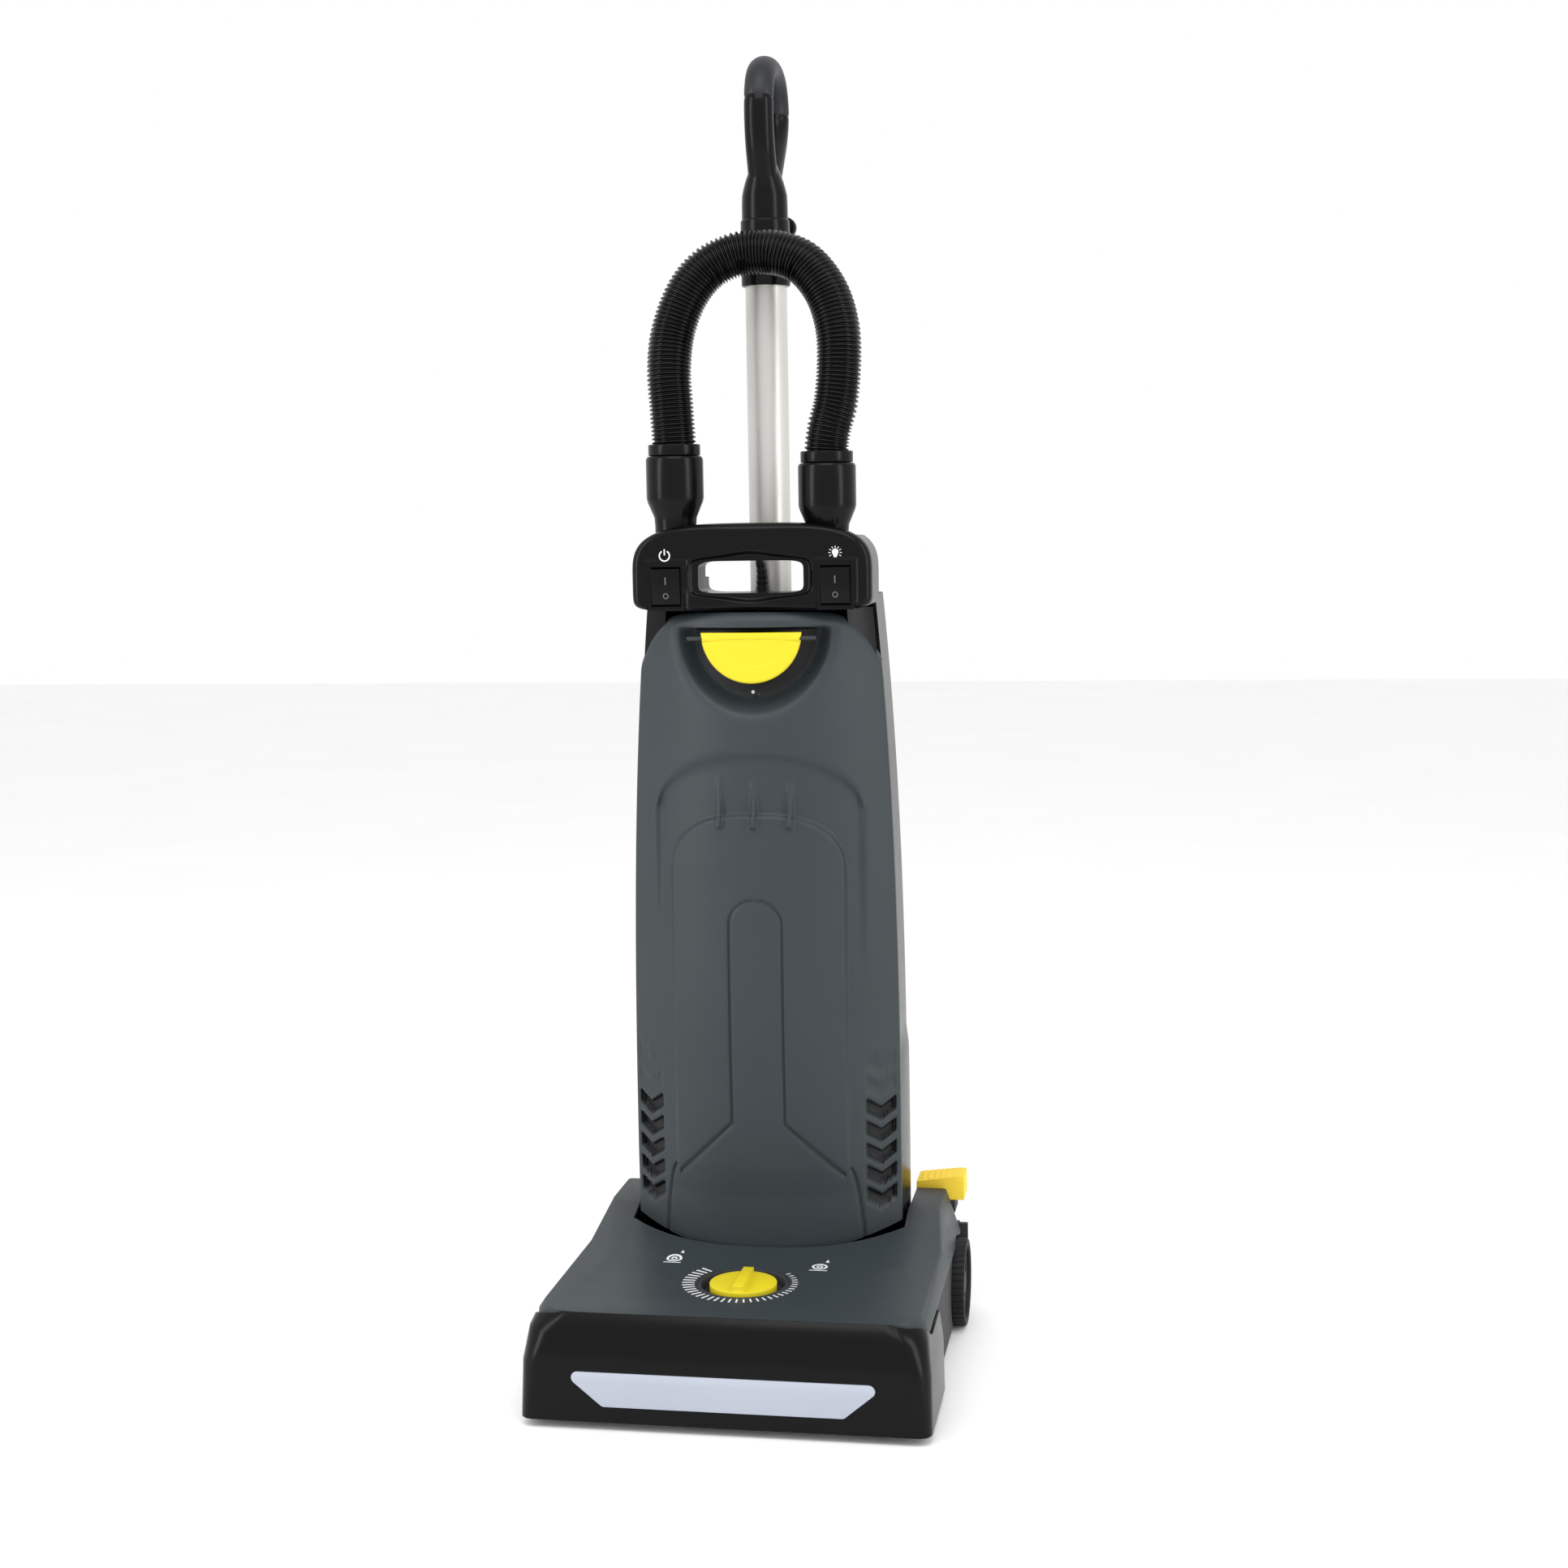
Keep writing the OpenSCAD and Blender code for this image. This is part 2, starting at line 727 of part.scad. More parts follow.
module tyre_left() {
    color([0.05, 0.05, 0.05]) mirror([1, 0, 0]) wheel_tyre();
}

module front_axles() {
    color([0.7, 0.7, 0.72])
    both_sides()
        x_rod(pin_r, roller_x - 19, roller_x + 19, roller_y, roller_r);
}

module front_roller(side) {
    color([0.1, 0.1, 0.1])
    translate([side * roller_x, roller_y, roller_r]) rotate([0, 90, 0])
        difference() {
            cylinder(r = roller_r, h = roller_w, center = true);
            cylinder(r = pin_r + RUN, h = roller_w + 2, center = true);
        }
}

module roller_left() {
    front_roller(-1);
}

module roller_right() {
    front_roller(1);
}

module pedal_pin() {
    color([0.7, 0.7, 0.72])
    x_rod(pedal_pin_r, arm_x0, carrier_x1, pedal_y, pedal_z);
}

module pedal_lever() {
    color([0.07, 0.07, 0.08])
    difference() {
        union() {
            x_rod(7, arm_x0 + 4.5, carrier_x1 - 4.5, pedal_y, pedal_z);
            span([arm_x0 + 4.5, pedal_y, pedal_z - 4], [carrier_x1 - 4.5, 158, pedal_z + 6]);
            span([arm_x0 + 4.5, 152, pedal_z + 1], [172, 184, 114]);
            // pawl that locks the body upright
            span([arm_x0 + 4.5, pedal_y - 18, pedal_z - 3], [arm_x0 + 10, pedal_y, pedal_z + 3]);
        }
        x_rod(pedal_pin_r + RUN, arm_x0, carrier_x1 + 1, pedal_y, pedal_z);
    }
}

module foot_pedal() {
    color([0.95, 0.8, 0.12])
    union() {
        hull() {
            span([pedal_x0 + 4, 153, 122], [pedal_x0 + 10, 190, 132]);
            span([pedal_x1 - 8, 153, 114], [pedal_x1, 187, 138]);
            span([pedal_x0 + 30, 153, 114], [pedal_x1, 190, 124]);
        }
        for (i = [0:6])
            span([pedal_x0 + 10 + i * 6, 157, 128], [pedal_x0 + 12 + i * 6, 187, 134.5 + i * 0.6]);
    }
}

// Coil spring under the lever, drawn as its outer sleeve
module pedal_spring() {
    color([0.6, 0.6, 0.62])
    difference() {
        z_rod(4, spring_z0, pedal_z + 1, spring_x, spring_y);
        z_rod(2.6, spring_z0 - 1, pedal_z + 2, spring_x, spring_y);
    }
}

module head_screws() {
    color([0.6, 0.6, 0.62])
    for (x = SCREW_X, y = SCREW_Y)
        translate([x, y, skirt_z - 2.3]) union() {
            cylinder(r = 3.6, h = 1.6);
            translate([0, 0, 1.6]) cylinder(r = 1.9, h = 10);
        }
}

// ---- body ----

module pivot_frame() {
    color([0.1, 0.1, 0.11])
    difference() {
        union() {
            x_rod(30, -128, 128, pivot_y, wheel_r);
            x_rod(trunnion_r - RUN, -arm_x1 + 1, arm_x1 - 1, pivot_y, wheel_r);
            span([-122, 84, 43], [122, 138, foot_z]);
        }
        x_rod(axle_r + 0.6, -150, 150, pivot_y, wheel_r);
        // dirt duct up into the body
        z_rod(16, 20, 90, duct_x, pivot_y - 4);
        span([duct_x - 16, 70, 28], [duct_x + 16, 104, 60]);
    }
}

// Plan of the rear housing: hw each side, drawn in by inset
module rear_plan(hw, inset) {
    r = 34;
    hull() {
        for (s = [-1, 1])
            translate([s * (hw - r), body_back - r]) circle(r = r - inset, $fn = HULL_FN);
        translate([-hw + inset, seam_y + GAP]) square([2 * (hw - inset), 4]);
    }
}

// One goose-neck arm of the door's hinge, from the housing's floor to its pin
module hinge_arm() {
    t = 4;
    hull() {
        x_rod(2, hinge_x, hinge_x + t, hinge_y, hinge_z);
        span([hinge_x, 24, hinge_z - 4], [hinge_x + t, 34, hinge_z + 4]);
    }
    span([hinge_x, 24, foot_z], [hinge_x + t, 34, hinge_z + 4]);
    x_rod(hinge_pin_r, hinge_x + 1, hinge_x + t + 12, hinge_y, hinge_z);
}

// Hollow of the rear housing between two heights
module chamber(z0, z1, hw) {
    translate([0, cavity_back - body_back + wall, z0]) linear_extrude(z1 - z0) rear_plan(hw, wall);
}

module rear_housing() {
    color([0.06, 0.06, 0.07])
    difference() {
        union() {
            both_sides() hinge_arm();
            span([-hinge_x - 4, 24, foot_z], [hinge_x + 4, seam_y + 10, foot_z + wall]);
            difference() {
                union() {
                    translate([0, 0, foot_z]) linear_extrude(bulge_z - foot_z)
                        rear_plan(body_hw - 1, 0);
                    translate([0, 0, bulge_z - 1]) linear_extrude(250) rear_plan(125, 0);
                    translate([0, 0, 540]) linear_extrude(110) rear_plan(120, 0);
                    translate([0, 0, 640]) linear_extrude(deck_z - 640) rear_plan(114, 0);
                }
                // motor chamber and bag chamber, both open to the front
                chamber(foot_z + wall, shelf_z, 122);
                chamber(shelf_z + wall, 540, 122);
                chamber(539, 640, 118);
                chamber(639, deck_z - wall, 112);
                span([-106, 40, foot_z + wall], [106, 80, shelf_z]);
                span([-106, 40, shelf_z + wall], [106, 80, deck_z - wall]);
            }
            // socket of the handle tube, with a rib to the back wall
            z_rod(tube_r + 5, tube_z0 - 5, deck_z - 1, 0, tube_y);
            span([-8, tube_y, tube_z0 - 5], [8, body_back - 1, deck_z - 1]);
        }
        z_rod(tube_r + 0.1, tube_z0, deck_z + 1, 0, tube_y);
        z_rod(8, deck_z - 10, deck_z + 1, gland_x, gland_y);
        z_rod(16, foot_z - 1, foot_z + wall + 1, duct_x, pivot_y - 4);
    }
}

// Half-round bowl behind the latch, cut off flat at z_top
module recess_solid(r, y0, y1, z_top) {
    difference() {
        y_rod(r, y0, y1, 0, latch_z);
        span([-r - 1, y0 - 1, z_top], [r + 1, y1 + 1, z_top + r + 5]);
    }
}

module front_cover() {
    color([0.19, 0.22, 0.23])
    difference() {
        union() {
            difference() {
                front_shell();
                recess_solid(recess_r, -20, 20, recess_top);
            }
            // cup behind the latch, for the fingers
            intersection() {
                front_solid(0.2, cover_foot);
                difference() {
                    recess_solid(recess_r + wall, -20, recess_depth + wall, recess_top + wall);
                    recess_solid(recess_r, -30, recess_depth, recess_top);
                }
            }
            // bosses of the latch's pin
            both_sides()
                x_rod(5, latch_r + 1.5, recess_r - 4, latch_axis_y, latch_axis_z);
            both_sides()
                span([52, latch_axis_y, latch_axis_z - 4], [60, recess_depth + 1, latch_axis_z + 4]);
        }
        panel_window(0);
        both_sides() {
            for (i = [0:4])
                translate([vent_x, 30, vent_z0 + i * vent_pitch]) vent_slot(vent_w, vent_h);
            x_rod(2, latch_r, recess_r, latch_axis_y, latch_axis_z);
        }
    }
}

module lower_panel() {
    color([0.17, 0.2, 0.21])
    difference() {
        union() {
            intersection() {
                front_shell();
                panel_window(0.4);
            }
            // barrels of the hinge
            both_sides() x_rod(3.5, hinge_x + 5, hinge_x + 15, hinge_y, hinge_z);
        }
        both_sides()
            x_rod(hinge_pin_r + RUN, hinge_x + 4.5, hinge_x + 16.5, hinge_y, hinge_z);
    }
}

module latch_pin() {
    color([0.7, 0.7, 0.72])
    x_rod(2, -recess_r + 8, recess_r - 8, latch_axis_y, latch_axis_z);
}

module door_latch() {
    color([0.94, 0.88, 0.1])
    difference() {
        union() {
            difference() {
                y_rod(latch_r, 1, 7, 0, latch_z);
                span([-60, -5, latch_z + 1], [60, 20, latch_z + 60]);
            }
            x_rod(4, -46, 46, latch_axis_y, latch_axis_z);
            // hook behind the plate
            span([-12, 6, latch_z - 20], [12, 13, latch_z - 4]);
        }
        x_rod(2 + RUN, -60, 60, latch_axis_y, latch_axis_z);
    }
}

module top_panel() {
    color([0.05, 0.05, 0.06])
    difference() {
        union() {
            difference() {
                panel_slab(0, panel_y0, panel_y1);
                panel_slab(wall, panel_y0 + wall, panel_y1 + 1);
            }
            // closed bar of the carry handle
            span([-window_hw - 8, panel_y0 + 1, window_z1 - 3], [window_hw + 8, bar_y1, panel_top - 5]);
            // lining of the window
            span([-window_hw - 3, panel_y0 + 1, window_z0 - 3], [window_hw + 3, panel_y1, window_z0]);
            both_sides()
                span([window_hw, panel_y0 + 1, window_z0 - 3], [window_hw + 3, bar_y1, window_z1]);
        }
        span([-window_hw, -10, window_z0], [window_hw, 80, window_z1]);
        // the space behind the bar is open
        span([-window_hw, bar_y1, window_z0], [window_hw, 80, panel_top + 10]);
        for (s = [-1, 1])
            span([s * switch_x - switch_w / 2, -5, switch_z - switch_h / 2],
                [s * switch_x + switch_w / 2, 16, switch_z + switch_h / 2]);
        for (x = [hose_left_x, hose_right_x])
            z_rod(port_r, port_z0 - 6, 810, x, hose_y);
    }
}

// Frame round a rocker switch, with the switch's own case behind it
module switch_bezel(side) {
    color([0.04, 0.04, 0.05])
    translate([side * switch_x, 0, switch_z])
        difference() {
            span([-switch_w / 2 + 0.1, panel_y0 + 1, -switch_h / 2 + 0.1],
                [switch_w / 2 - 0.1, 15, switch_h / 2 - 0.1]);
            span([-rocker_w / 2 - 0.5, panel_y0 - 2, -rocker_h / 2 - 1.5],
                [rocker_w / 2 + 0.5, 13, rocker_h / 2 + 1.5]);
            x_rod(rocker_pin_r + RUN, -rocker_w / 2 - 1.7, rocker_w / 2 + 1.7, rocker_pin_y, 0);
        }
}

module power_bezel() {
    switch_bezel(-1);
}

module light_bezel() {
    switch_bezel(1);
}

// Rocker with two flat faces that meet at a shallow angle, tipped to its lower half
module rocker(side) {
    color([0.08, 0.08, 0.09])
    translate([side * switch_x, 0, switch_z])
        union() {
            translate([0, panel_y0, 0]) rotate([90, 0, 90])
                linear_extrude(rocker_w, center = true)
                    polygon([[0.5, -rocker_h / 2 + 0.5], [-2.5, rocker_h / 2 - 1], [-1, rocker_h / 2],
                        [3, rocker_h / 2 - 2], [4.5, 0], [3.4, -rocker_h / 2 + 2]]);
            x_rod(rocker_pin_r, -rocker_w / 2 - 1.5, rocker_w / 2 + 1.5, rocker_pin_y, 0);
        }
}

module power_rocker() {
    rocker(-1);
}

module light_rocker() {
    rocker(1);
}

module suction_motor() {
    color([0.62, 0.62, 0.65])
    union() {
        z_rod(50, 120, 205, 0, fan_y);
        z_rod(34, foot_z + wall, 120, 0, fan_y);
        difference() {
            z_rod(58, 205, 240, 0, fan_y);
            z_rod(55, 209, 236, 0, fan_y);
            z_rod(20, 230, 245, 0, fan_y);
        }
        z_rod(4, 205, 214, 0, fan_y);
    }
}

module fan_rotor() {
    color([0.8, 0.8, 0.82])
    difference() {
        union() {
            z_rod(52, 211, 213, 0, fan_y);
            z_rod(10, 211, 232, 0, fan_y);
            for (a = [0:45:315])
                translate([0, fan_y, 212]) rotate(a) span([9, -1, 0], [50, 1, 18]);
        }
        z_rod(4 + RUN, 210, 214.5, 0, fan_y);
    }
}

module exhaust_filter() {
    color([0.92, 0.93, 0.95])
    union() {
        span([-88, 50, 245], [88, cavity_back, 252]);
        for (i = [0:13])
            span([-84 + i * 12, 54, 252], [-78 + i * 12, 128, 286]);
        span([-88, 50, 286], [88, cavity_back, 290]);
    }
}

module dust_bag() {
    color([0.9, 0.88, 0.82])
    hull()
        for (x = [-72, 72], y = [50, 68], z = [362, 517])
            translate([x, y, z]) sphere(r = 20, $fn = 24);
}

module bag_collar() {
    color([0.75, 0.68, 0.55])
    difference() {
        span([-50, 32, 537], [50, cavity_back, 541]);
        z_rod(19, 530, 545, 20, 60);
    }
}

module hose_ports() {
    color([0.05, 0.05, 0.06])
    for (x = [hose_left_x, hose_right_x])
        difference() {
            z_rod(port_r, port_z0, 786, x, hose_y);
            z_rod(neck_r + RUN, port_z0 + 12, 790, x, hose_y);
            z_rod(15, port_z0 - 1, port_z0 + 13, x, hose_y);
        }
}

// Swivelling cuff: a neck that sits in the port, a taper and a wide sleeve round the hose
module cuff(x, z) {
    color([0.05, 0.05, 0.06])
    translate([x, hose_y, 0])
        rotate_extrude()
            polygon([[15, z - 78], [neck_r, z - 78], [neck_r, z - 22], [neck_r + 0.6, z - 14],
                [cuff_r - 1, z], [cuff_r, z + 4], [cuff_r, z + 40], [cuff_r - 1.5, z + 43],
                [hose_r + GAP, z + 43], [hose_r + GAP, z + 16], [15, z + 16]]);
}

module cuff_left() {
    cuff(hose_left_x, left_cuff_z);
}

module cuff_right() {
    cuff(hose_right_x, right_cuff_z);
}

module hose_rings() {
    color([0.05, 0.05, 0.06])
    for (place = [[hose_left_x, left_cuff_z], [hose_right_x, right_cuff_z]])
        difference() {
            z_rod(24.5, place[1] + 43.5, place[1] + 54, place[0], hose_y);
            z_rod(hose_r + 0.2, place[1] + 43, place[1] + 55, place[0], hose_y);
        }
}

module suction_hose() {
    color([0.04, 0.04, 0.05])
    sweep(HOSE_ROUTE, [0, 1, 0], hose_r, hose_r, 12);
}

// ---- handle ----

module handle_tube() {
    color([0.8, 0.8, 0.8])
    difference() {
        z_rod(tube_r, tube_z0, tube_z1, 0, tube_y);
        z_rod(tube_r - tube_t, tube_z0 - 1, tube_z1 + 1, 0, tube_y);
    }
}

function grip_line() = [for (p = smooth_line(GRIP_LOOP, 2)) [0, p[0], p[1] + overall_h - 1240]];

module handle_grip() {
    color([0.05, 0.05, 0.07])
    difference() {
        union() {
            sweep(grip_line(), [1, 0, 0], grip_a - pad_t, grip_b - pad_t, 16);
            hull() {
                translate([0, tube_y, socket_z1 - 26]) cylinder(r = 21, h = 18, $fn = HULL_FN);
                for (y = [tube_y - 8, tube_y + 16])
                    translate([0, y, socket_z1 + 4]) sphere(r = 13, $fn = 24);
            }
            z_rod(22, socket_z0 + 40, socket_z1 - 20, 0, tube_y);
            z_rod(23.5, socket_z0, socket_z0 + 62, 0, tube_y);
            y_rod(12, tube_y, 144, 0, hook_z);
        }
        z_rod(tube_r, socket_z0 - 1, tube_z1, 0, tube_y);
        y_rod(4, 136, 150, 0, hook_z);
    }
}

module grip_pad() {
    color([0.22, 0.23, 0.25])
    sweep_sleeve(grip_line(), [1, 0, 0], PAD_FIRST, PAD_LAST, grip_a - pad_t, grip_b - pad_t, pad_t, 16);
}

module cord_hook() {
    color([0.04, 0.04, 0.05])
    union() {
        y_rod(4 - RUN, 137, 146, 0, hook_z);
        y_rod(9, 144.4, 172, 0, hook_z);
        hull()
            for (x = [-12, 12])
                translate([x, 164, hook_z]) rotate([-90, 0, 0]) cylinder(r = 10, h = 10, $fn = HULL_FN);
        span([-9, 164, hook_z], [9, 174, hook_z + 22]);
    }
}

module lower_hook() {
    hw = 12;
    arm_z = coil_z + 36;
    color([0.04, 0.04, 0.05])
    union() {
        y_rod(16, body_back, body_back + 4, 0, coil_z + 38);
        span([-hw, body_back, arm_z], [hw, head_front, coil_z + coil_r - coil_section_r - 1.5]);
        span([-hw, head_front - 6, arm_z], [hw, head_front, coil_z + coil_r]);
    }
}

// ---- cord ----

module cord_gland() {
    color([0.03, 0.03, 0.03])
    difference() {
        union() {
            z_rod(7.8, gland_z - 9, gland_z, gland_x, gland_y);
            translate([gland_x, gland_y, gland_z]) rotate_extrude()
                polygon([[0, 0], [9.5, 0], [9.3, 4], [8, 8], [6, 10.5], [5.2, 12], [4.8, 21.5],
                    [0, 21.5]]);
        }
        z_rod(2, gland_z - 10, gland_z + 2, gland_x, gland_y);
    }
}

module mains_cord() {
    color([0.03, 0.03, 0.03])
    union() {
        sweep(CORD_ROUTE, [1, 0, 0], cord_r, cord_r, 8);
        sweep(TAIL_ROUTE, [0, 1, 0], cord_r, cord_r, 8);
    }
}

module cord_coil() {
    color([0.03, 0.03, 0.03])
    translate([0, coil_y, coil_z]) rotate([90, 0, 0])
        rotate_extrude() translate([coil_r, 0]) circle(r = coil_section_r);
}

// Strap round the coil at its lowest point
module coil_tie() {
    z = coil_z - coil_r;
    color([0.1, 0.1, 0.1])
    difference() {
        x_rod(coil_section_r + 1.6, -8, 8, coil_y, z);
        translate([0, coil_y, coil_z]) rotate([90, 0, 0])
            rotate_extrude() translate([coil_r, 0]) circle(r = coil_section_r);
        span([-9, coil_y - 30, z + coil_section_r - 1], [9, coil_y + 30, z + 40]);
    }
}

module mains_plug() {
    color([0.05, 0.05, 0.05])
    translate([plug_x, 180, 0]) union() {
        z_rod(9, 478, 500, 0, 0);
        z_rod(16, 446, 478, 0, 0);
        for (x = [-9.5, 9.5])
            z_rod(2.4, 427, 446, x, 0);
    }
}

module body_screws() {
    color([0.6, 0.6, 0.62])
    for (x = [-95, 95], z = [150, 420, 680])
        translate([x, body_back, z]) rotate([-90, 0, 0]) cylinder(r = 4, h = 1.8);
}

head_base();
sole_plate();
head_cover();
front_bumper();
light_lens();
led_board();
knob_well();
height_knob();
brush_motor();
motor_pulley();
drive_belt();
brush_cradle();
brush_core();
brush_bristles();
rear_axle();
trunnion_bushes();
wheel_left();
tyre_left();
wheel_right();
tyre_right();
front_axles();
roller_left();
roller_right();
pedal_pin();
pedal_lever();
foot_pedal();
pedal_spring();
head_screws();
pivot_frame();
rear_housing();
front_cover();
lower_panel();
latch_pin();
door_latch();
top_panel();
power_bezel();
light_bezel();
power_rocker();
light_rocker();
suction_motor();
fan_rotor();
exhaust_filter();
dust_bag();
bag_collar();
hose_ports();
cuff_left();
cuff_right();
hose_rings();
suction_hose();
handle_tube();
handle_grip();
grip_pad();
cord_hook();
lower_hook();
cord_gland();
mains_cord();
cord_coil();
coil_tie();
mains_plug();
body_screws();
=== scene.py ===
"""Looks of an upright vacuum cleaner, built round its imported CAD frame.

Lengths are in metres. X is to the machine's right seen from the front, Y to the back, Z up, and the
floor is z = 0. New pieces are surfaces computed as numpy grids; the other CAD nodes keep their shape and
get a finish.
"""

import json
import logging
import math
from dataclasses import dataclass, replace
from enum import Enum
from typing import Any, Iterable, Sequence

import bmesh
import bpy
import numpy as np
from mathutils import Matrix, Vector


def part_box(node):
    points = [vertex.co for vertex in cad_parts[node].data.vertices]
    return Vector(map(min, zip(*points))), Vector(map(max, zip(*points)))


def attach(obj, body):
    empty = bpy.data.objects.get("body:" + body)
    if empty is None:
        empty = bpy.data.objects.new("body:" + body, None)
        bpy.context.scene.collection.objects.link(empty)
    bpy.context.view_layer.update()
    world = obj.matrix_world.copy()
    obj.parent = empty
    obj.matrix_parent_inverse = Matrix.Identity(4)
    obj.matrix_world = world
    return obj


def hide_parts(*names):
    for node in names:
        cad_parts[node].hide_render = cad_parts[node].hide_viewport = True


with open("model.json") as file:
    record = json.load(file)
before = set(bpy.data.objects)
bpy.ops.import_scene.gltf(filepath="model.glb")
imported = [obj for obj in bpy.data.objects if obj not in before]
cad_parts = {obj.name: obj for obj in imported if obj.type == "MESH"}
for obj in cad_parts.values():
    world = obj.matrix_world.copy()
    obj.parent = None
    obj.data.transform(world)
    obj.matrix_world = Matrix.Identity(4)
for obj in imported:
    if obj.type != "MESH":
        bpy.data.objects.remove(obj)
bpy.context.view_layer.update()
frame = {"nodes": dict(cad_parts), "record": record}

LOG = logging.getLogger("upright")
BODY_OF = {node: body for body, nodes in frame["record"]["behaviour"]["bodies"].items() for node in nodes}
SLOT_OF = {part["node"]: part["material_slot"] for part in frame["record"]["subparts"]}
MM = 0.001
Array = np.ndarray


# ---- numbers and curves ----


def soft_step(distance: Array, width: float) -> Array:
    """Smooth step of a signed distance: 0 well outside, 1 well inside, cubic over the width.

    Args:
        distance: Signed distance to an edge, positive inside.
        width: How wide the step is.

    Returns:
        Values from 0 to 1.
    """
    t = np.clip(distance / width + 0.5, 0.0, 1.0)
    return t * t * (3.0 - 2.0 * t)


def smooth_path(points: Sequence[Sequence[float]], steps: int) -> Array:
    """Catmull-Rom line: each stretch is the cubic that passes through its ends and leans on its neighbours.

    Args:
        points: Points that the line passes through.
        steps: Steps from each point to the next.

    Returns:
        The line's points, one row each.
    """
    p = np.asarray(points, float)
    padded = np.vstack([2 * p[0] - p[1], p, 2 * p[-1] - p[-2]])
    t = (np.arange(steps) / steps)[None, :, None]
    a, b, c, d = (padded[i : i + len(p) - 1][:, None, :] for i in range(4))
    curve = 0.5 * (
        2 * b + (c - a) * t + (2 * a - 5 * b + 4 * c - d) * t**2 + (3 * b - a - 3 * c + d) * t**3
    )
    return np.vstack([curve.reshape(-1, p.shape[1]), p[-1:]])


def even_path(points: Array, pitch: float) -> Array:
    """The same line with points at one pitch, by interpolation along its length.

    Args:
        points: Points of the line.
        pitch: Distance from each new point to the next.

    Returns:
        The new points.
    """
    run = np.concatenate([[0.0], np.cumsum(np.linalg.norm(np.diff(points, axis=0), axis=1))])
    count = max(8, int(round(run[-1] / pitch)))
    at = np.linspace(0.0, run[-1], count + 1)
    return np.stack([np.interp(at, run, points[:, k]) for k in range(3)], axis=1)


def crowded(low: float, high: float, count: int, spots: Sequence[Sequence[float]]) -> Array:
    """Numbers from low to high that stand closer together round some spots: the inverse of a density's integral.

    Args:
        low: First number.
        high: Last number.
        count: How many numbers.
        spots: Middle, width and extra density of each spot.

    Returns:
        The numbers.
    """
    at = np.linspace(low, high, 4001)
    density = 1.0 + sum(k * np.exp(-(((at - c) / w) ** 2)) for c, w, k in spots)
    total = np.concatenate([[0.0], np.cumsum(0.5 * (density[1:] + density[:-1]))])
    return np.interp(np.linspace(0.0, total[-1], count), total, at)


def path_length(points: Array) -> float:
    """Length of a line through the points."""
    return float(np.linalg.norm(np.diff(points, axis=0), axis=1).sum())


# ---- meshes ----


def make_piece(name: str, points: Array, faces: Iterable[Sequence[int]], sharp: float = 40.0) -> bpy.types.Object:
    """Closed mesh object at the origin. Its faces are turned outwards: the signed volume is made positive.

    Args:
        name: Name of the piece.
        points: One row for each vertex.
        faces: Vertex numbers of each face.
        sharp: Angle in degrees above which an edge is drawn sharp.

    Returns:
        The new object.
    """
    mesh = bpy.data.meshes.new(name)
    mesh.from_pydata(np.asarray(points, float).tolist(), [], [list(map(int, f)) for f in faces])
    mesh.validate()
    tidy_mesh(mesh, recalc=False)
    mesh.polygons.foreach_set("use_smooth", np.ones(len(mesh.polygons), bool))
    mesh.set_sharp_from_angle(angle=math.radians(sharp))
    obj = bpy.data.objects.new(name, mesh)
    bpy.context.scene.collection.objects.link(obj)
    return obj


def tidy_mesh(mesh: bpy.types.Mesh, recalc: bool) -> None:
    """Merges doubled points, and turns the mesh outwards.

    Args:
        mesh: The mesh to tidy.
        recalc: True to work out each face's side again, False to flip all together if needed.
    """
    bm = bmesh.new()
    bm.from_mesh(mesh)
    bmesh.ops.remove_doubles(bm, verts=bm.verts, dist=2e-6)
    if recalc:
        bmesh.ops.recalc_face_normals(bm, faces=bm.faces)
    if bm.calc_volume(signed=True) < 0:
        bmesh.ops.reverse_faces(bm, faces=bm.faces)
    bm.to_mesh(mesh)
    bm.free()


def grid_faces(rows: int, columns: int, wrap_rows: bool = False, wrap_columns: bool = False) -> Array:
    """Quads between neighbouring points of a rows by columns grid.

    Args:
        rows: Rows of the grid.
        columns: Columns of the grid.
        wrap_rows: True if the last row joins the first.
        wrap_columns: True if the last column joins the first.

    Returns:
        One row of four vertex numbers for each quad.
    """
    i = np.arange(rows if wrap_rows else rows - 1)[:, None]
    j = np.arange(columns if wrap_columns else columns - 1)[None, :]
    i1, j1 = (i + 1) % rows, (j + 1) % columns
    quads = [i * columns + j, i * columns + j1, i1 * columns + j1, i1 * columns + j]
    return np.stack([q.reshape(-1) for q in quads], axis=1)


def ring_faces(first: Array, second: Array) -> Array:
    """Quads that join two closed rings of vertex numbers."""
    return np.stack([first, np.roll(first, -1), np.roll(second, -1), second], axis=1)


def shell_mesh(outer: Array, inner: Array) -> tuple[Array, list[Any]]:
    """Closed shell from an outer and an inner grid of one size, joined round their borders.

    Args:
        outer: Grid of points, rows by columns by 3.
        inner: Grid of the same size, on the shell's other side.

    Returns:
        The points and the faces.
    """
    rows, columns = outer.shape[:2]
    total = rows * columns
    number = np.arange(total).reshape(rows, columns)
    rim = np.concatenate(
        [number[0, :-1], number[:-1, -1], number[-1, :0:-1], number[:0:-1, 0]]
    )
    quads = grid_faces(rows, columns)
    faces = [*quads, *(quads[:, ::-1] + total), *ring_faces(rim, rim + total)[:, ::-1]]
    return np.vstack([outer.reshape(-1, 3), inner.reshape(-1, 3)]), faces


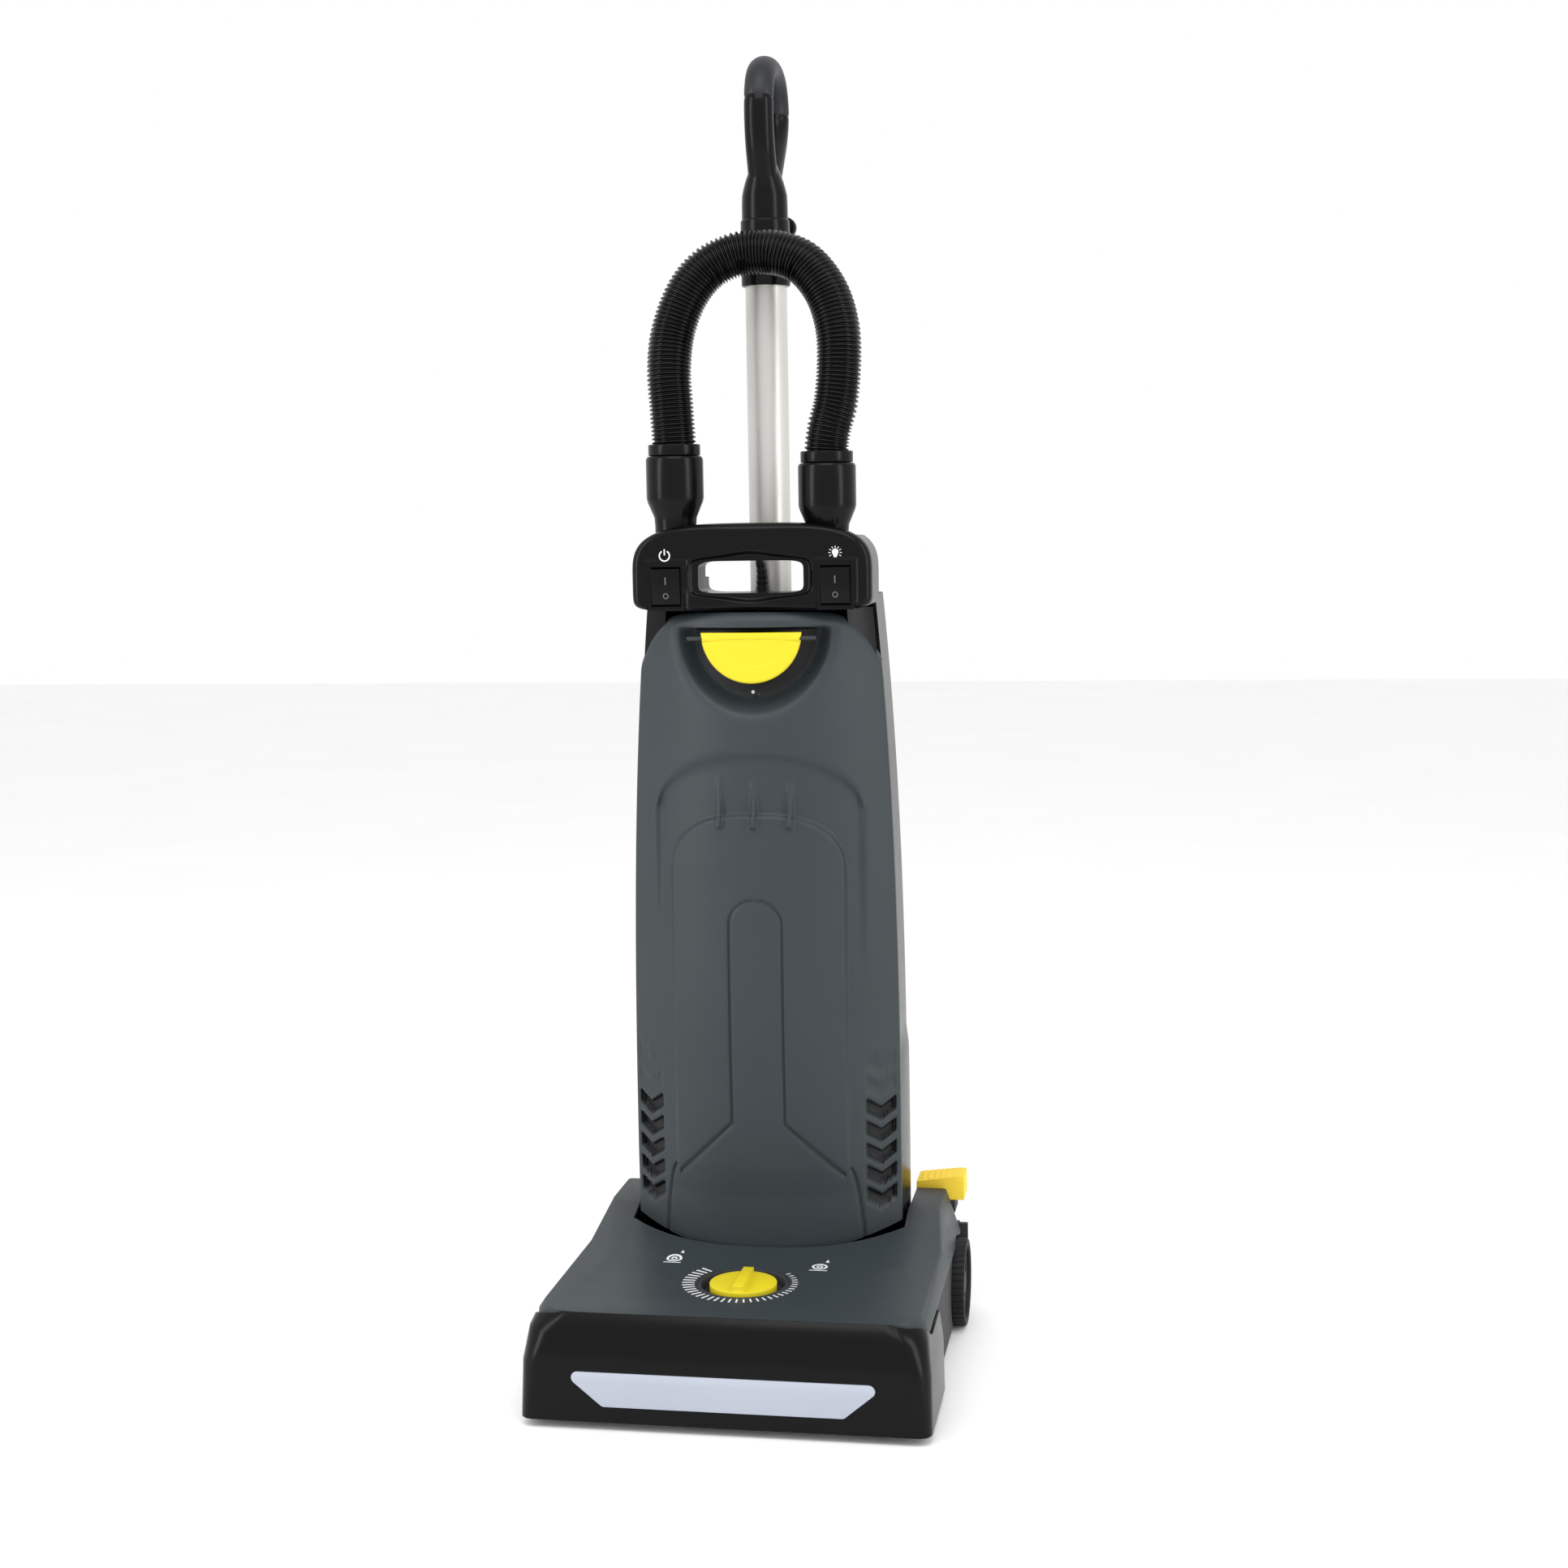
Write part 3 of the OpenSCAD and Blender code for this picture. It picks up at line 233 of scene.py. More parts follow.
def offset_grid(grid: Array, depth: float, towards: Sequence[float]) -> Array:
    """The grid moved along its own normals, which are the cross product of its two directions.

    Args:
        grid: Grid of points.
        depth: How far it moves.
        towards: A point on the side that it moves to.

    Returns:
        The moved grid.
    """
    normal = np.cross(np.gradient(grid, axis=0), np.gradient(grid, axis=1))
    normal /= np.maximum(np.linalg.norm(normal, axis=2, keepdims=True), 1e-12)
    middle = grid[grid.shape[0] // 2, grid.shape[1] // 2]
    side = np.dot(normal[grid.shape[0] // 2, grid.shape[1] // 2], np.asarray(towards) - middle)
    return grid + normal * depth * (1.0 if side > 0 else -1.0)


class Axis(Enum):
    """Direction that a turned or extruded piece runs along."""

    X = 0
    Y = 1
    Z = 2


def along(axis: Axis, u: Array, v: Array, w: Array) -> Array:
    """Points from coordinates across (u, v) and along (w) an axis, by turning X, Y and Z in order."""
    order = {Axis.X: (w, u, v), Axis.Y: (v, w, u), Axis.Z: (u, v, w)}[axis]
    return np.stack(np.broadcast_arrays(*order), axis=-1)


def turned(profile: Sequence[Sequence[float]], axis: Axis, centre: Sequence[float], sides: int = 64) -> tuple[Array, list[Any]]:
    """Surface of revolution: each (radius, height) of a closed profile goes once round the axis.

    Args:
        profile: Points (radius, height), closed round the section; a radius of 0 is on the axis.
        axis: The axis that it turns about.
        centre: Where the axis is and where height 0 is.
        sides: Steps round the axis.

    Returns:
        The points and the faces.
    """
    p = np.asarray(profile, float)
    turn = np.linspace(0.0, 2 * np.pi, sides, endpoint=False)[None, :]
    grid = along(axis, p[:, :1] * np.cos(turn), p[:, :1] * np.sin(turn), p[:, 1:2] + 0 * turn)
    grid = grid + np.asarray(centre, float)
    return grid.reshape(-1, 3), list(grid_faces(len(p), sides, True, True))


def prism(outline: Array, low: float, high: float, axis: Axis, rim: float = 0.0) -> tuple[Array, list[Any]]:
    """Slab with a flat outline, its rim rounded by three rings drawn in towards the outline's middle.

    Args:
        outline: Points (u, v) round the outline.
        low: Lower end along the axis.
        high: Upper end along the axis.
        axis: The axis that the outline is extruded along.
        rim: Radius of the rounded rim.

    Returns:
        The points and the faces.
    """
    o = np.asarray(outline, float)
    if rim > 0:
        lean = np.roll(o, -1, axis=0) - np.roll(o, 1, axis=0)
        lean /= np.maximum(np.linalg.norm(lean, axis=1, keepdims=True), 1e-12)
        inward = np.stack([-lean[:, 1], lean[:, 0]], axis=1)
        area = np.sum(o[:, 0] * np.roll(o[:, 1], -1) - np.roll(o[:, 0], -1) * o[:, 1])
        inward *= 1.0 if area > 0 else -1.0
        angles = np.radians([0.0, 30.0, 60.0, 90.0])
        lower = [(rim * (1 - math.sin(a)), low + rim * (1 - math.cos(a))) for a in angles]
        rings = lower + [(drawn, high + low - z) for drawn, z in reversed(lower)]
    else:
        inward = np.zeros_like(o)
        rings = [(0.0, low), (0.0, high)]
    points = np.vstack([along(axis, *(o + inward * i).T, np.full(len(o), z)) for i, z in rings])
    n = len(o)
    faces: list[Any] = list(grid_faces(len(rings), n, False, True))
    faces += [list(range(n))[::-1], list(range(n * (len(rings) - 1), n * len(rings)))]
    return points, faces


def swept(path: Array, across: Array, up: Array, sides: int, ref: Sequence[float], caps: bool = True) -> tuple[Array, list[Any]]:
    """Bar of elliptical section along a path: ring = point + across cos(a) side + up sin(a) lift.

    Args:
        path: Points of the middle line.
        across: Half width of the section at each point.
        up: Half height of the section at each point.
        sides: Points round the section.
        ref: Direction that the section's width leans to.
        caps: True to close both ends.

    Returns:
        The points and the faces.
    """
    heading = np.gradient(path, axis=0)
    heading /= np.maximum(np.linalg.norm(heading, axis=1, keepdims=True), 1e-12)
    r = np.asarray(ref, float)[None, :]
    side = r - (heading * r).sum(axis=1, keepdims=True) * heading
    side /= np.maximum(np.linalg.norm(side, axis=1, keepdims=True), 1e-12)
    lift = np.cross(heading, side)
    a = np.linspace(0.0, 2 * np.pi, sides, endpoint=False)[None, :, None]
    rings = (
        path[:, None, :]
        + np.broadcast_to(across, len(path))[:, None, None] * np.cos(a) * side[:, None, :]
        + np.broadcast_to(up, len(path))[:, None, None] * np.sin(a) * lift[:, None, :]
    )
    faces: list[Any] = list(grid_faces(len(path), sides, False, True))
    if caps:
        last = (len(path) - 1) * sides
        faces += [list(range(sides))[::-1], list(range(last, last + sides))]
    return rings.reshape(-1, 3), faces


def joined(*parts: tuple[Array, list[Any]]) -> tuple[Array, list[Any]]:
    """Several closed meshes as one."""
    points, faces, start = [], [], 0
    for part_points, part_faces in parts:
        points.append(part_points)
        faces += [[int(i) + start for i in f] for f in part_faces]
        start += len(part_points)
    return np.vstack(points), faces


def softened(node: str, width: float, segments: int = 2) -> bpy.types.Object:
    """Copy of a CAD node with merged points, flat faces joined up and its sharp edges rounded.

    Args:
        node: Name of the CAD node.
        width: Width of the rounding.
        segments: Steps across the rounding.

    Returns:
        The new object, named after the node.
    """
    source = frame["nodes"][node]
    bm = bmesh.new()
    bm.from_mesh(source.data)
    bmesh.ops.remove_doubles(bm, verts=bm.verts, dist=2e-6)
    bmesh.ops.dissolve_limit(bm, angle_limit=math.radians(1.0), verts=bm.verts, edges=bm.edges)
    bmesh.ops.recalc_face_normals(bm, faces=bm.faces)
    hard = [e for e in bm.edges if e.is_manifold and e.calc_face_angle(0.0) > math.radians(38.0)]
    bmesh.ops.bevel(
        bm, geom=hard, offset=width, segments=segments, profile=0.5, affect="EDGES", clamp_overlap=True
    )
    mesh = bpy.data.meshes.new(f"{node}_soft")
    bm.to_mesh(mesh)
    bm.free()
    tidy_mesh(mesh, recalc=True)
    mesh.polygons.foreach_set("use_smooth", np.ones(len(mesh.polygons), bool))
    mesh.set_sharp_from_angle(angle=math.radians(40.0))
    obj = bpy.data.objects.new(f"{node}_soft", mesh)
    bpy.context.scene.collection.objects.link(obj)
    return obj


# ---- finishes ----


class Signal:
    """A shader socket that can be used in Python arithmetic."""

    def __init__(self, graph: "Graph", socket: bpy.types.NodeSocket) -> None:
        """Wraps one output socket of a graph."""
        self.graph = graph
        self.socket = socket

    def math(self, operation: str, *values: Any) -> "Signal":
        """A Math node on these values."""
        return self.graph.node("ShaderNodeMath", {"operation": operation}, dict(enumerate(values)))

    def __add__(self, other: Any) -> "Signal":
        """Sum."""
        return self.math("ADD", self, other)

    def __radd__(self, other: Any) -> "Signal":
        """Sum, reflected."""
        return self.math("ADD", other, self)

    def __sub__(self, other: Any) -> "Signal":
        """Difference."""
        return self.math("SUBTRACT", self, other)

    def __rsub__(self, other: Any) -> "Signal":
        """Difference, reflected."""
        return self.math("SUBTRACT", other, self)

    def __mul__(self, other: Any) -> "Signal":
        """Product."""
        return self.math("MULTIPLY", self, other)

    def __rmul__(self, other: Any) -> "Signal":
        """Product, reflected."""
        return self.math("MULTIPLY", other, self)


class Graph:
    """Node tree of one material."""

    def __init__(self, name: str) -> None:
        """Makes an empty material with its shader and its output."""
        self.material = bpy.data.materials.new(name)
        self.material.use_nodes = True
        self.tree = self.material.node_tree
        self.tree.nodes.clear()
        self.output = self.tree.nodes.new("ShaderNodeOutputMaterial")
        self.shader = self.tree.nodes.new("ShaderNodeBsdfPrincipled")
        self.tree.links.new(self.shader.outputs[0], self.output.inputs[0])

    def node(self, kind: str, settings: dict[str, Any], values: dict[Any, Any], output: Any = 0) -> Signal:
        """Any other node.

        Args:
            kind: Type of the node.
            settings: Its properties, set first; "stops" is a ramp's list of (place, colour).
            values: Numbers or signals for its input sockets, by name or number.
            output: Name or number of the output that is used.

        Returns:
            That output.
        """
        made = self.tree.nodes.new(kind)
        for key, value in settings.items():
            if key == "stops":
                ramp = made.color_ramp
                for element, (place, colour) in zip(ramp.elements, value):
                    element.position, element.color = place, colour
            else:
                setattr(made, key, value)
        for key, value in values.items():
            self.put(made.inputs[key], value)
        return Signal(self, made.outputs[output])

    def put(self, socket: bpy.types.NodeSocket, value: Any) -> None:
        """Links a signal to a socket, or sets a plain value on it."""
        if isinstance(value, Signal):
            self.tree.links.new(value.socket, socket)
        else:
            socket.default_value = value

    def shade(self, **values: Any) -> None:
        """Sets or links the shader's sockets, named with _ for a space."""
        for key, value in values.items():
            self.put(self.shader.inputs[key.replace("_", " ")], value)


class Grain(Enum):
    """Pattern of a surface's fine relief."""

    SPARK = "spark-eroded mould texture"
    SMOOTH = "polished mould"
    DRAWN = "lines along Z"
    CROSS = "lines along X"
    FLEECE = "matted fibres"
    PLEAT = "paper"


@dataclass(frozen=True)
class Finish:
    """One finish: its colour, gloss, grain and wear."""

    name: str
    colour: tuple[float, float, float]
    roughness: float
    metallic: float = 0.0
    grain: Grain = Grain.SPARK
    scale: float = 1400.0
    depth: float = 0.00003
    strength: float = 0.25
    spread: float = 0.12
    coat: float = 0.0
    glow: float = 0.0
    sheen: float = 0.0
    worn: float = 0.05
    shine: float = 0.5
    # dark: mixes the colour to near black by the door's point attribute: painted shade in the vents and grooves, black
    # for the black inner part in the latch bowl
    dark: bool = False

    def material(self) -> bpy.types.Material:
        """Builds the material, or returns it if it was built before.

        Returns:
            A material whose colour, roughness and relief follow noise in Object coordinates.
        """
        known = bpy.data.materials.get(self.name)
        if known is not None:
            return known
        g = Graph(self.name)
        place = g.node("ShaderNodeTexCoord", {}, {}, "Object")
        stretch = {
            Grain.DRAWN: (1.0, 1.0, 0.012),
            Grain.CROSS: (0.02, 1.0, 1.0),
            Grain.PLEAT: (1.0, 1.0, 0.2),
        }.get(self.grain, (1.0, 1.0, 1.0))
        laid = g.node("ShaderNodeMapping", {}, {"Vector": place, "Scale": stretch})
        fine = g.node(
            "ShaderNodeTexNoise", {}, {"Vector": laid, "Scale": self.scale, "Detail": 3.0, "Roughness": 0.6}
        )
        broad = g.node("ShaderNodeTexNoise", {}, {"Vector": place, "Scale": 9.0, "Detail": 4.0})
        smudge = g.node(
            "ShaderNodeTexNoise", {}, {"Vector": place, "Scale": 42.0, "Detail": 5.0, "Roughness": 0.7}
        )
        tint = (broad - 0.5) * 0.9 + (fine - 0.5) * 0.5
        dark = (*(c * (1 - self.spread) for c in self.colour), 1.0)
        light = (*(min(1.0, c * (1 + self.spread)) for c in self.colour), 1.0)
        colour = g.node(
            "ShaderNodeMix",
            {"data_type": "RGBA"},
            {"Factor": tint + 0.5, 6: dark, 7: light},
            2,
        )
        # Painted shade: the door's attribute darkens the vents and grooves to near black; in the latch bowl the same
        # mix stands for its black inner part
        if self.dark:
            hollow = g.node("ShaderNodeAttribute", {"attribute_name": "hollow"}, {}, "Fac")
            colour = g.node(
                "ShaderNodeMix", {"data_type": "RGBA"}, {"Factor": hollow, 6: colour, 7: (0.003, 0.003, 0.003, 1.0)}, 2
            )
        rough = (smudge - 0.5) * (2.0 * self.worn) + self.roughness
        bump = g.node(
            "ShaderNodeBump",
            {},
            {"Height": fine, "Strength": self.strength, "Distance": self.depth},
        )
        g.shade(
            Base_Color=colour,
            Roughness=rough,
            Metallic=self.metallic,
            Coat_Weight=self.coat,
            Coat_Roughness=0.12,
            Specular_IOR_Level=self.shine,
            Sheen_Weight=self.sheen,
            Normal=bump,
        )
        if self.glow > 0:
            g.shade(Emission_Color=(*self.colour, 1.0), Emission_Strength=self.glow)
        return g.material


GREY = Finish("grey_grained", (0.026, 0.034, 0.038), 0.48, scale=1500.0, depth=0.00006, strength=0.5, shine=0.3)
# Door grey with painted shade in its vents and grooves, and black in the latch bowl, from the door's point attribute
DOOR_GREY = replace(GREY, name="grey_door", dark=True)
BLACK = Finish("black_satin", (0.0022, 0.0022, 0.0026), 0.24, scale=900.0, strength=0.06, shine=0.14)
MATTE = Finish("black_matte", (0.005, 0.005, 0.0055), 0.5, strength=0.35, shine=0.15)
YELLOW = Finish("latch_yellow", (0.64, 0.53, 0.012), 0.45, strength=0.12, spread=0.04, shine=0.35)
PEDAL = Finish("pedal_yellow", (0.68, 0.46, 0.015), 0.42, strength=0.15, spread=0.07, shine=0.35)
LENS = Finish("lens_frosted", (0.38, 0.41, 0.48), 0.32, scale=500.0, strength=0.3, spread=0.05, coat=0.3)
TUBE = Finish("tube_anodised", (0.62, 0.61, 0.58), 0.42, 0.55, Grain.DRAWN, 2600.0, 0.00002, 0.3, 0.08, worn=0.12)
STEEL = Finish("steel_zinc", (0.56, 0.56, 0.57), 0.32, 1.0, Grain.CROSS, 1800.0, 0.00002, 0.25, 0.1, worn=0.1)
RUBBER = Finish("rubber_black", (0.008, 0.008, 0.008), 0.62, scale=900.0, depth=0.0001, strength=0.5, shine=0.25)
SOFT = Finish("grip_soft", (0.010, 0.011, 0.014), 0.45, scale=700.0, strength=0.25, shine=0.3)
HOSE = Finish("hose_black", (0.0022, 0.0022, 0.0026), 0.24, scale=600.0, strength=0.08, shine=0.2)
CORD = Finish("cord_sheath", (0.006, 0.006, 0.0065), 0.42, scale=1200.0, strength=0.15, shine=0.3)
BRISTLE = Finish("bristle_nylon", (0.012, 0.012, 0.012), 0.45, 0.0, Grain.DRAWN, 3000.0, 0.0001, 0.6)
MOTOR = Finish("motor_can", (0.42, 0.42, 0.44), 0.36, 1.0, Grain.CROSS, 900.0, 0.00003, 0.3, 0.15, worn=0.1)
FAN = Finish("fan_cast", (0.62, 0.63, 0.65), 0.42, 1.0, strength=0.3)
BAG = Finish("bag_fleece", (0.72, 0.69, 0.60), 0.92, 0.0, Grain.FLEECE, 900.0, 0.0004, 0.8, 0.08, sheen=0.3)
COLLAR = Finish("collar_card", (0.45, 0.34, 0.20), 0.8, 0.0, Grain.FLEECE, 700.0, 0.0001, 0.5, 0.12)
FILTER = Finish("filter_paper", (0.80, 0.82, 0.84), 0.9, 0.0, Grain.PLEAT, 800.0, 0.0002, 0.6, 0.05)
BOARD = Finish("board_green", (0.01, 0.09, 0.035), 0.35, coat=0.4)
BUSH = Finish("bush_acetal", (0.68, 0.67, 0.60), 0.4, strength=0.1, spread=0.04)
PRINT = Finish("print_white", (0.66, 0.67, 0.68), 0.5, strength=0.1, spread=0.04)
FAINT = Finish("print_faint", (0.10, 0.11, 0.12), 0.5, strength=0.1, spread=0.04)


def paint(obj: bpy.types.Object, finish: Finish) -> None:
    """Gives every slot of an object one finish."""
    material = finish.material()
    if not obj.material_slots:
        obj.data.materials.append(material)
    for slot in obj.material_slots:
        slot.material = material


def fit(obj: bpy.types.Object, finish: Finish, body: str, slot: str, *nodes: str) -> bpy.types.Object:
    """Paints a new piece, makes it ride on its body, and names what it stands for.

    Args:
        obj: The piece.
        finish: Its finish.
        body: The CAD body that it moves with.
        slot: The record's material slot. It is not used.
        nodes: CAD nodes that it stands for.

    Returns:
        The same piece.
    """
    paint(obj, finish)
    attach(obj, body)
    if nodes:
        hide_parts(*nodes)
    LOG.info("%s rides on %s and stands for %s", obj.name, body, ", ".join(nodes) or "nothing")
    return obj


# ---- the body's door ----


@dataclass
class FrontDoor:
    """Grey front cover with its latch bowl, scoop, raised panel, keyhole groove and vents."""

    foot_half: float = 0.130
    taper: float = 0.016
    crown: float = 0.052
    top: float = 0.714
    seam: float = 0.060
    wall: float = 0.003
    columns: int = 233
    rows: int = 213
    recess_half: float = 0.074
    recess_drop: float = 0.079
    recess_top: float = 0.699
    recess_depth: float = 0.021
    panel_half: float = 0.0835
    panel_top: float = 0.524
    vent_x: float = 0.1125
    vent_low: float = 0.1505
    vent_pitch: float = 0.0217
    # where the points stand closer together: middle, width and how much closer
    busy_columns = ((0.195, 0.025, 5.0), (0.62, 0.035, 3.0), (0.84, 0.10, 1.5), (0.262, 0.03, 2.0), (0.0, 0.02, 2.0))
    busy_rows = ((0.54, 0.03, 1.5), (0.15, 0.09, 2.0), (0.665, 0.05, 2.0), (0.92, 0.07, 2.0), (0.34, 0.07, -0.75), (0.45, 0.05, -0.7))

    def half_width(self, z: Array) -> Array:
        """Half width at a height: the foot's, less a taper that grows with the 2.8th power of height."""
        rise = np.clip((np.asarray(z) - 0.14) / 0.55, 0.0, 1.1)
        return self.foot_half - self.taper * rise**2.8

    def depth_at(self, x: Array, z: Array) -> Array:
        """Front face without its relief: y grows with the 2.1st power of x over the half width."""
        return self.crown * np.minimum(np.abs(x) / self.half_width(z), 1.0) ** 2.1

    def bowl(self, x: Array, z: Array) -> Array:
        """Depth of the half-round bowl behind the latch: deepest at its flat top, with a long soft lip below."""
        r = np.hypot(x / self.recess_half, (z - 0.697) / self.recess_drop)
        inner = soft_step(0.90 - r, 0.22)
        lip = soft_step(1.02 - r, 0.20) * 0.004
        return (inner * self.recess_depth + lip) * soft_step(self.recess_top - z, 0.0028)

    def relief(self, x: Array, z: Array) -> Array:
        """Everything moulded into the face, as a height outwards: steps, ribs and grooves of signed distances."""
        ax = np.abs(x)
        h = -self.bowl(x, z)
        arch_top = 0.524 + 0.056 * np.sqrt(np.clip(1 - (ax / 0.099) ** 2, 0, 1))
        arch = np.minimum(arch_top - z, (0.099 - ax) * 1.4)
        scoop = soft_step(arch, 0.012) * np.clip((z - 0.36) / 0.17, 0, 1)
        h -= 0.0058 * scoop
        corner = np.clip(ax / self.panel_half, 0, 1)
        panel_edge = self.panel_top - 0.052 * (1 - np.sqrt(np.clip(1 - corner**2.7, 0, 1)))
        widening = 0.0135 * np.sqrt(np.clip((0.182 - z) / 0.07, 0, 1))
        slab = np.minimum(panel_edge - z, self.panel_half + widening - ax)
        h += 0.0052 * soft_step(slab, 0.0038) * np.clip((z - 0.158) / 0.15, 0, 1)
        h -= 0.0012 * np.clip((0.185 - z) / 0.03, 0, 1)  # sunk foot, so that the open cover clears the head
        for rib_x in (-0.034, 0.0, 0.034):
            rib = np.minimum(0.0026 - np.abs(x - rib_x), np.minimum(0.556 - z, z - 0.512))
            h += 0.0048 * soft_step(rib, 0.0026) * np.clip((0.560 - z) / 0.030, 0, 1)
        h -= 0.0017 * np.exp(-((self.keyhole(ax, z) / 0.0015) ** 2))
        h -= 0.0020 * np.exp(-((self.foot_seam(ax, z) / 0.0013) ** 2))
        for i in range(7):
            h -= self.vent(ax, z, i)
        h -= 0.0012 * soft_step(0.0022 - np.hypot(x - 0.001, z - 0.637), 0.0018)
        return h

    def keyhole(self, ax: Array, z: Array) -> Array:
        """Distance to the keyhole groove: two uprights, a round top and two flares at the foot."""
        upright = np.where((z > 0.228) & (z < 0.419), np.abs(ax - 0.0255), 1.0)
        cap = np.where(z >= 0.419, np.abs(np.hypot(ax, z - 0.419) - 0.0255), 1.0)
        t = np.clip((ax - 0.0255) / 0.0555, 0, 1)
        flare = np.abs(z - (0.228 - 0.054 * t)) * 0.72
        flare = np.where((ax > 0.0245) & (ax < 0.081), flare, 1.0)
        return np.minimum(np.minimum(upright, cap), flare)

    def foot_seam(self, ax: Array, z: Array) -> Array:
        """Distance to the seam round the lower centre panel, which widens towards the floor."""
        t = np.clip((0.182 - z) / 0.07, 0, 1)
        side = np.abs(ax - (0.0835 + 0.0135 * np.sqrt(t)))
        return np.where(z < 0.182, side, 1.0)

    def vent(self, ax: Array, z: Array, i: int) -> Array:
        """Depth of one V-shaped vent with upright ends. The two top ones are blind and shallow."""
        centre = self.vent_low + i * self.vent_pitch
        v = np.abs(ax - self.vent_x)
        middle = centre - 0.0030 + 0.70 * v - 0.0025
        band = np.minimum(0.0052 - np.abs(z - middle) * 0.85, 0.0128 - v)
        return (0.0075 if i < 5 else 0.0016) * soft_step(band, 0.0018)

    def grids(self) -> tuple[Array, Array]:
        """Outer and inner grid of the cover: x across, z up, y from the crown and the relief."""
        flat = 0.96
        u = crowded(-1.0, 1.0, self.columns, [(s * c, w, k) for s in (-1, 1) for c, w, k in self.busy_columns])[None, :]
        v = crowded(0.0, 1.0, self.rows, self.busy_rows)[:, None]
        across = np.clip(np.abs(u) / flat, 0, 1) * np.sign(u)
        low = 0.099 + 0.024 * across**2
        high = self.top - 0.046 * np.abs(across) ** 7
        z = low + (high - low) * v
        half = self.half_width(z)
        x = half * across
        side = np.clip((np.abs(u) - flat) / (1 - flat), 0, 1)
        side_depth = np.sqrt(np.clip((high - z) / 0.02, 0.1, 1))
        base = self.depth_at(x, z) + (self.seam - self.crown) * side * side_depth
        base = base + 0.007 * np.clip(1 - (high - z) / 0.012, 0, 1) ** 2.5
        front = base - self.relief(x, z) * (1 - side)
        back = np.maximum(base + self.wall, front + self.wall * 0.85)
        outer = np.stack(np.broadcast_arrays(x, front, z), axis=2)
        inner = np.stack(np.broadcast_arrays(x * (1 - self.wall / half), np.minimum(back, self.seam), z), axis=2)
        return outer, inner

    def build(self) -> None:
        """Makes the cover, the latch and the pin's finish."""
        outer, inner = self.grids()
        cover = make_piece("front_door", *shell_mesh(outer, inner), sharp=80.0)
        self.store_painted_shade_and_black(cover)
        fit(cover, DOOR_GREY, "door", "grey_shell", "front_cover", "lower_panel")
        self.screw()
        self.latch()
        paint(frame["nodes"]["latch_pin"], MATTE)

    def store_painted_shade_and_black(self, cover: bpy.types.Object) -> None:
        """Stores how far each point is inside a vent, a groove or the bowl, from 0 to 1, for the material, which
        darkens it to near black: painted shade in the vents and grooves, black for the bowl's black inner part.
        """
        xyz = np.empty(3 * len(cover.data.vertices))
        cover.data.vertices.foreach_get("co", xyz)
        x, y, z = xyz.reshape(-1, 3).T
        r = np.hypot(x / self.recess_half, (z - 0.697) / self.recess_drop)
        bowl = soft_step(0.80 - r, 0.12) * (z < self.recess_top) * (y < 0.045)
        # Painted shade in the five open vents and along the keyhole and foot seam grooves
        vents = sum(self.vent(np.abs(x), z, i) for i in range(5)) / 0.0075
        groove = 0.7 * np.exp(-((np.minimum(self.keyhole(np.abs(x), z), self.foot_seam(np.abs(x), z)) / 0.0012) ** 2))
        layer = cover.data.attributes.new("hollow", "FLOAT", "POINT")
        layer.data.foreach_set("value", np.clip(np.maximum.reduce([bowl, vents, groove]), 0, 1).astype(np.float32))

    def screw(self) -> None:
        """Small screw in the bowl under the latch."""
        centre = (0.001, float(self.depth_at(0.001, 0.640)) + 0.0062, 0.640)
        profile = [(0.0, 0.0), (0.0016, 0.0002), (0.0019, 0.0008), (0.0019, 0.004), (0.0, 0.004)]
        screw = make_piece("door_screw", *turned(profile, Axis.Y, centre, 24))
        fit(screw, STEEL, "door", "steel")

    def latch(self) -> None:
        """Half-moon latch: a polar grid with a raised rim and a shallow finger step, closed behind."""
        radius, top, front = 0.0475, 0.6955, 0.0012
        t = np.linspace(0.0, 1.0, 40)[:, None]
        a = np.linspace(np.pi, 2 * np.pi, 97)[None, :]
        r = radius * t
        x, z = r * np.cos(a), top + r * np.sin(a)
        edge = np.minimum(radius - np.hypot(x, z - top), top - z)
        round_off = 0.0016 * (1 - np.sqrt(np.clip(1 - (1 - np.clip(edge / 0.0016, 0, 1)) ** 2, 0, 1)))
        smile = 0.031 * np.sqrt(np.clip(1 - (x / 0.033) ** 2, 0, 1)) * 0.72
        step = 0.0007 * soft_step(smile - (top - 0.0095 - z), 0.0014) * (z < top - 0.006)
        bow = 0.0022 * (x / radius) ** 2
        outer = np.stack(np.broadcast_arrays(x, front + round_off + step + bow, z), axis=2)
        inner = np.stack(np.broadcast_arrays(x, np.full_like(x, 0.0068), z), axis=2)
        bar = turned([(0.0, -0.046), (0.0038, -0.046), (0.0038, 0.046), (0.0, 0.046)], Axis.X, (0, 0.006, 0.690), 24)
        hook = prism(np.array([(0.0062, 0.675), (0.0128, 0.675), (0.0128, 0.690), (0.0062, 0.690)]), -0.012, 0.012, Axis.X, 0.0006)
        latch = make_piece("latch_plate", *joined(shell_mesh(outer, inner), bar, hook), sharp=50.0)
        fit(latch, YELLOW, "latch", "yellow", "door_latch")


DOOR = FrontDoor()


# ---- the rest of the body ----


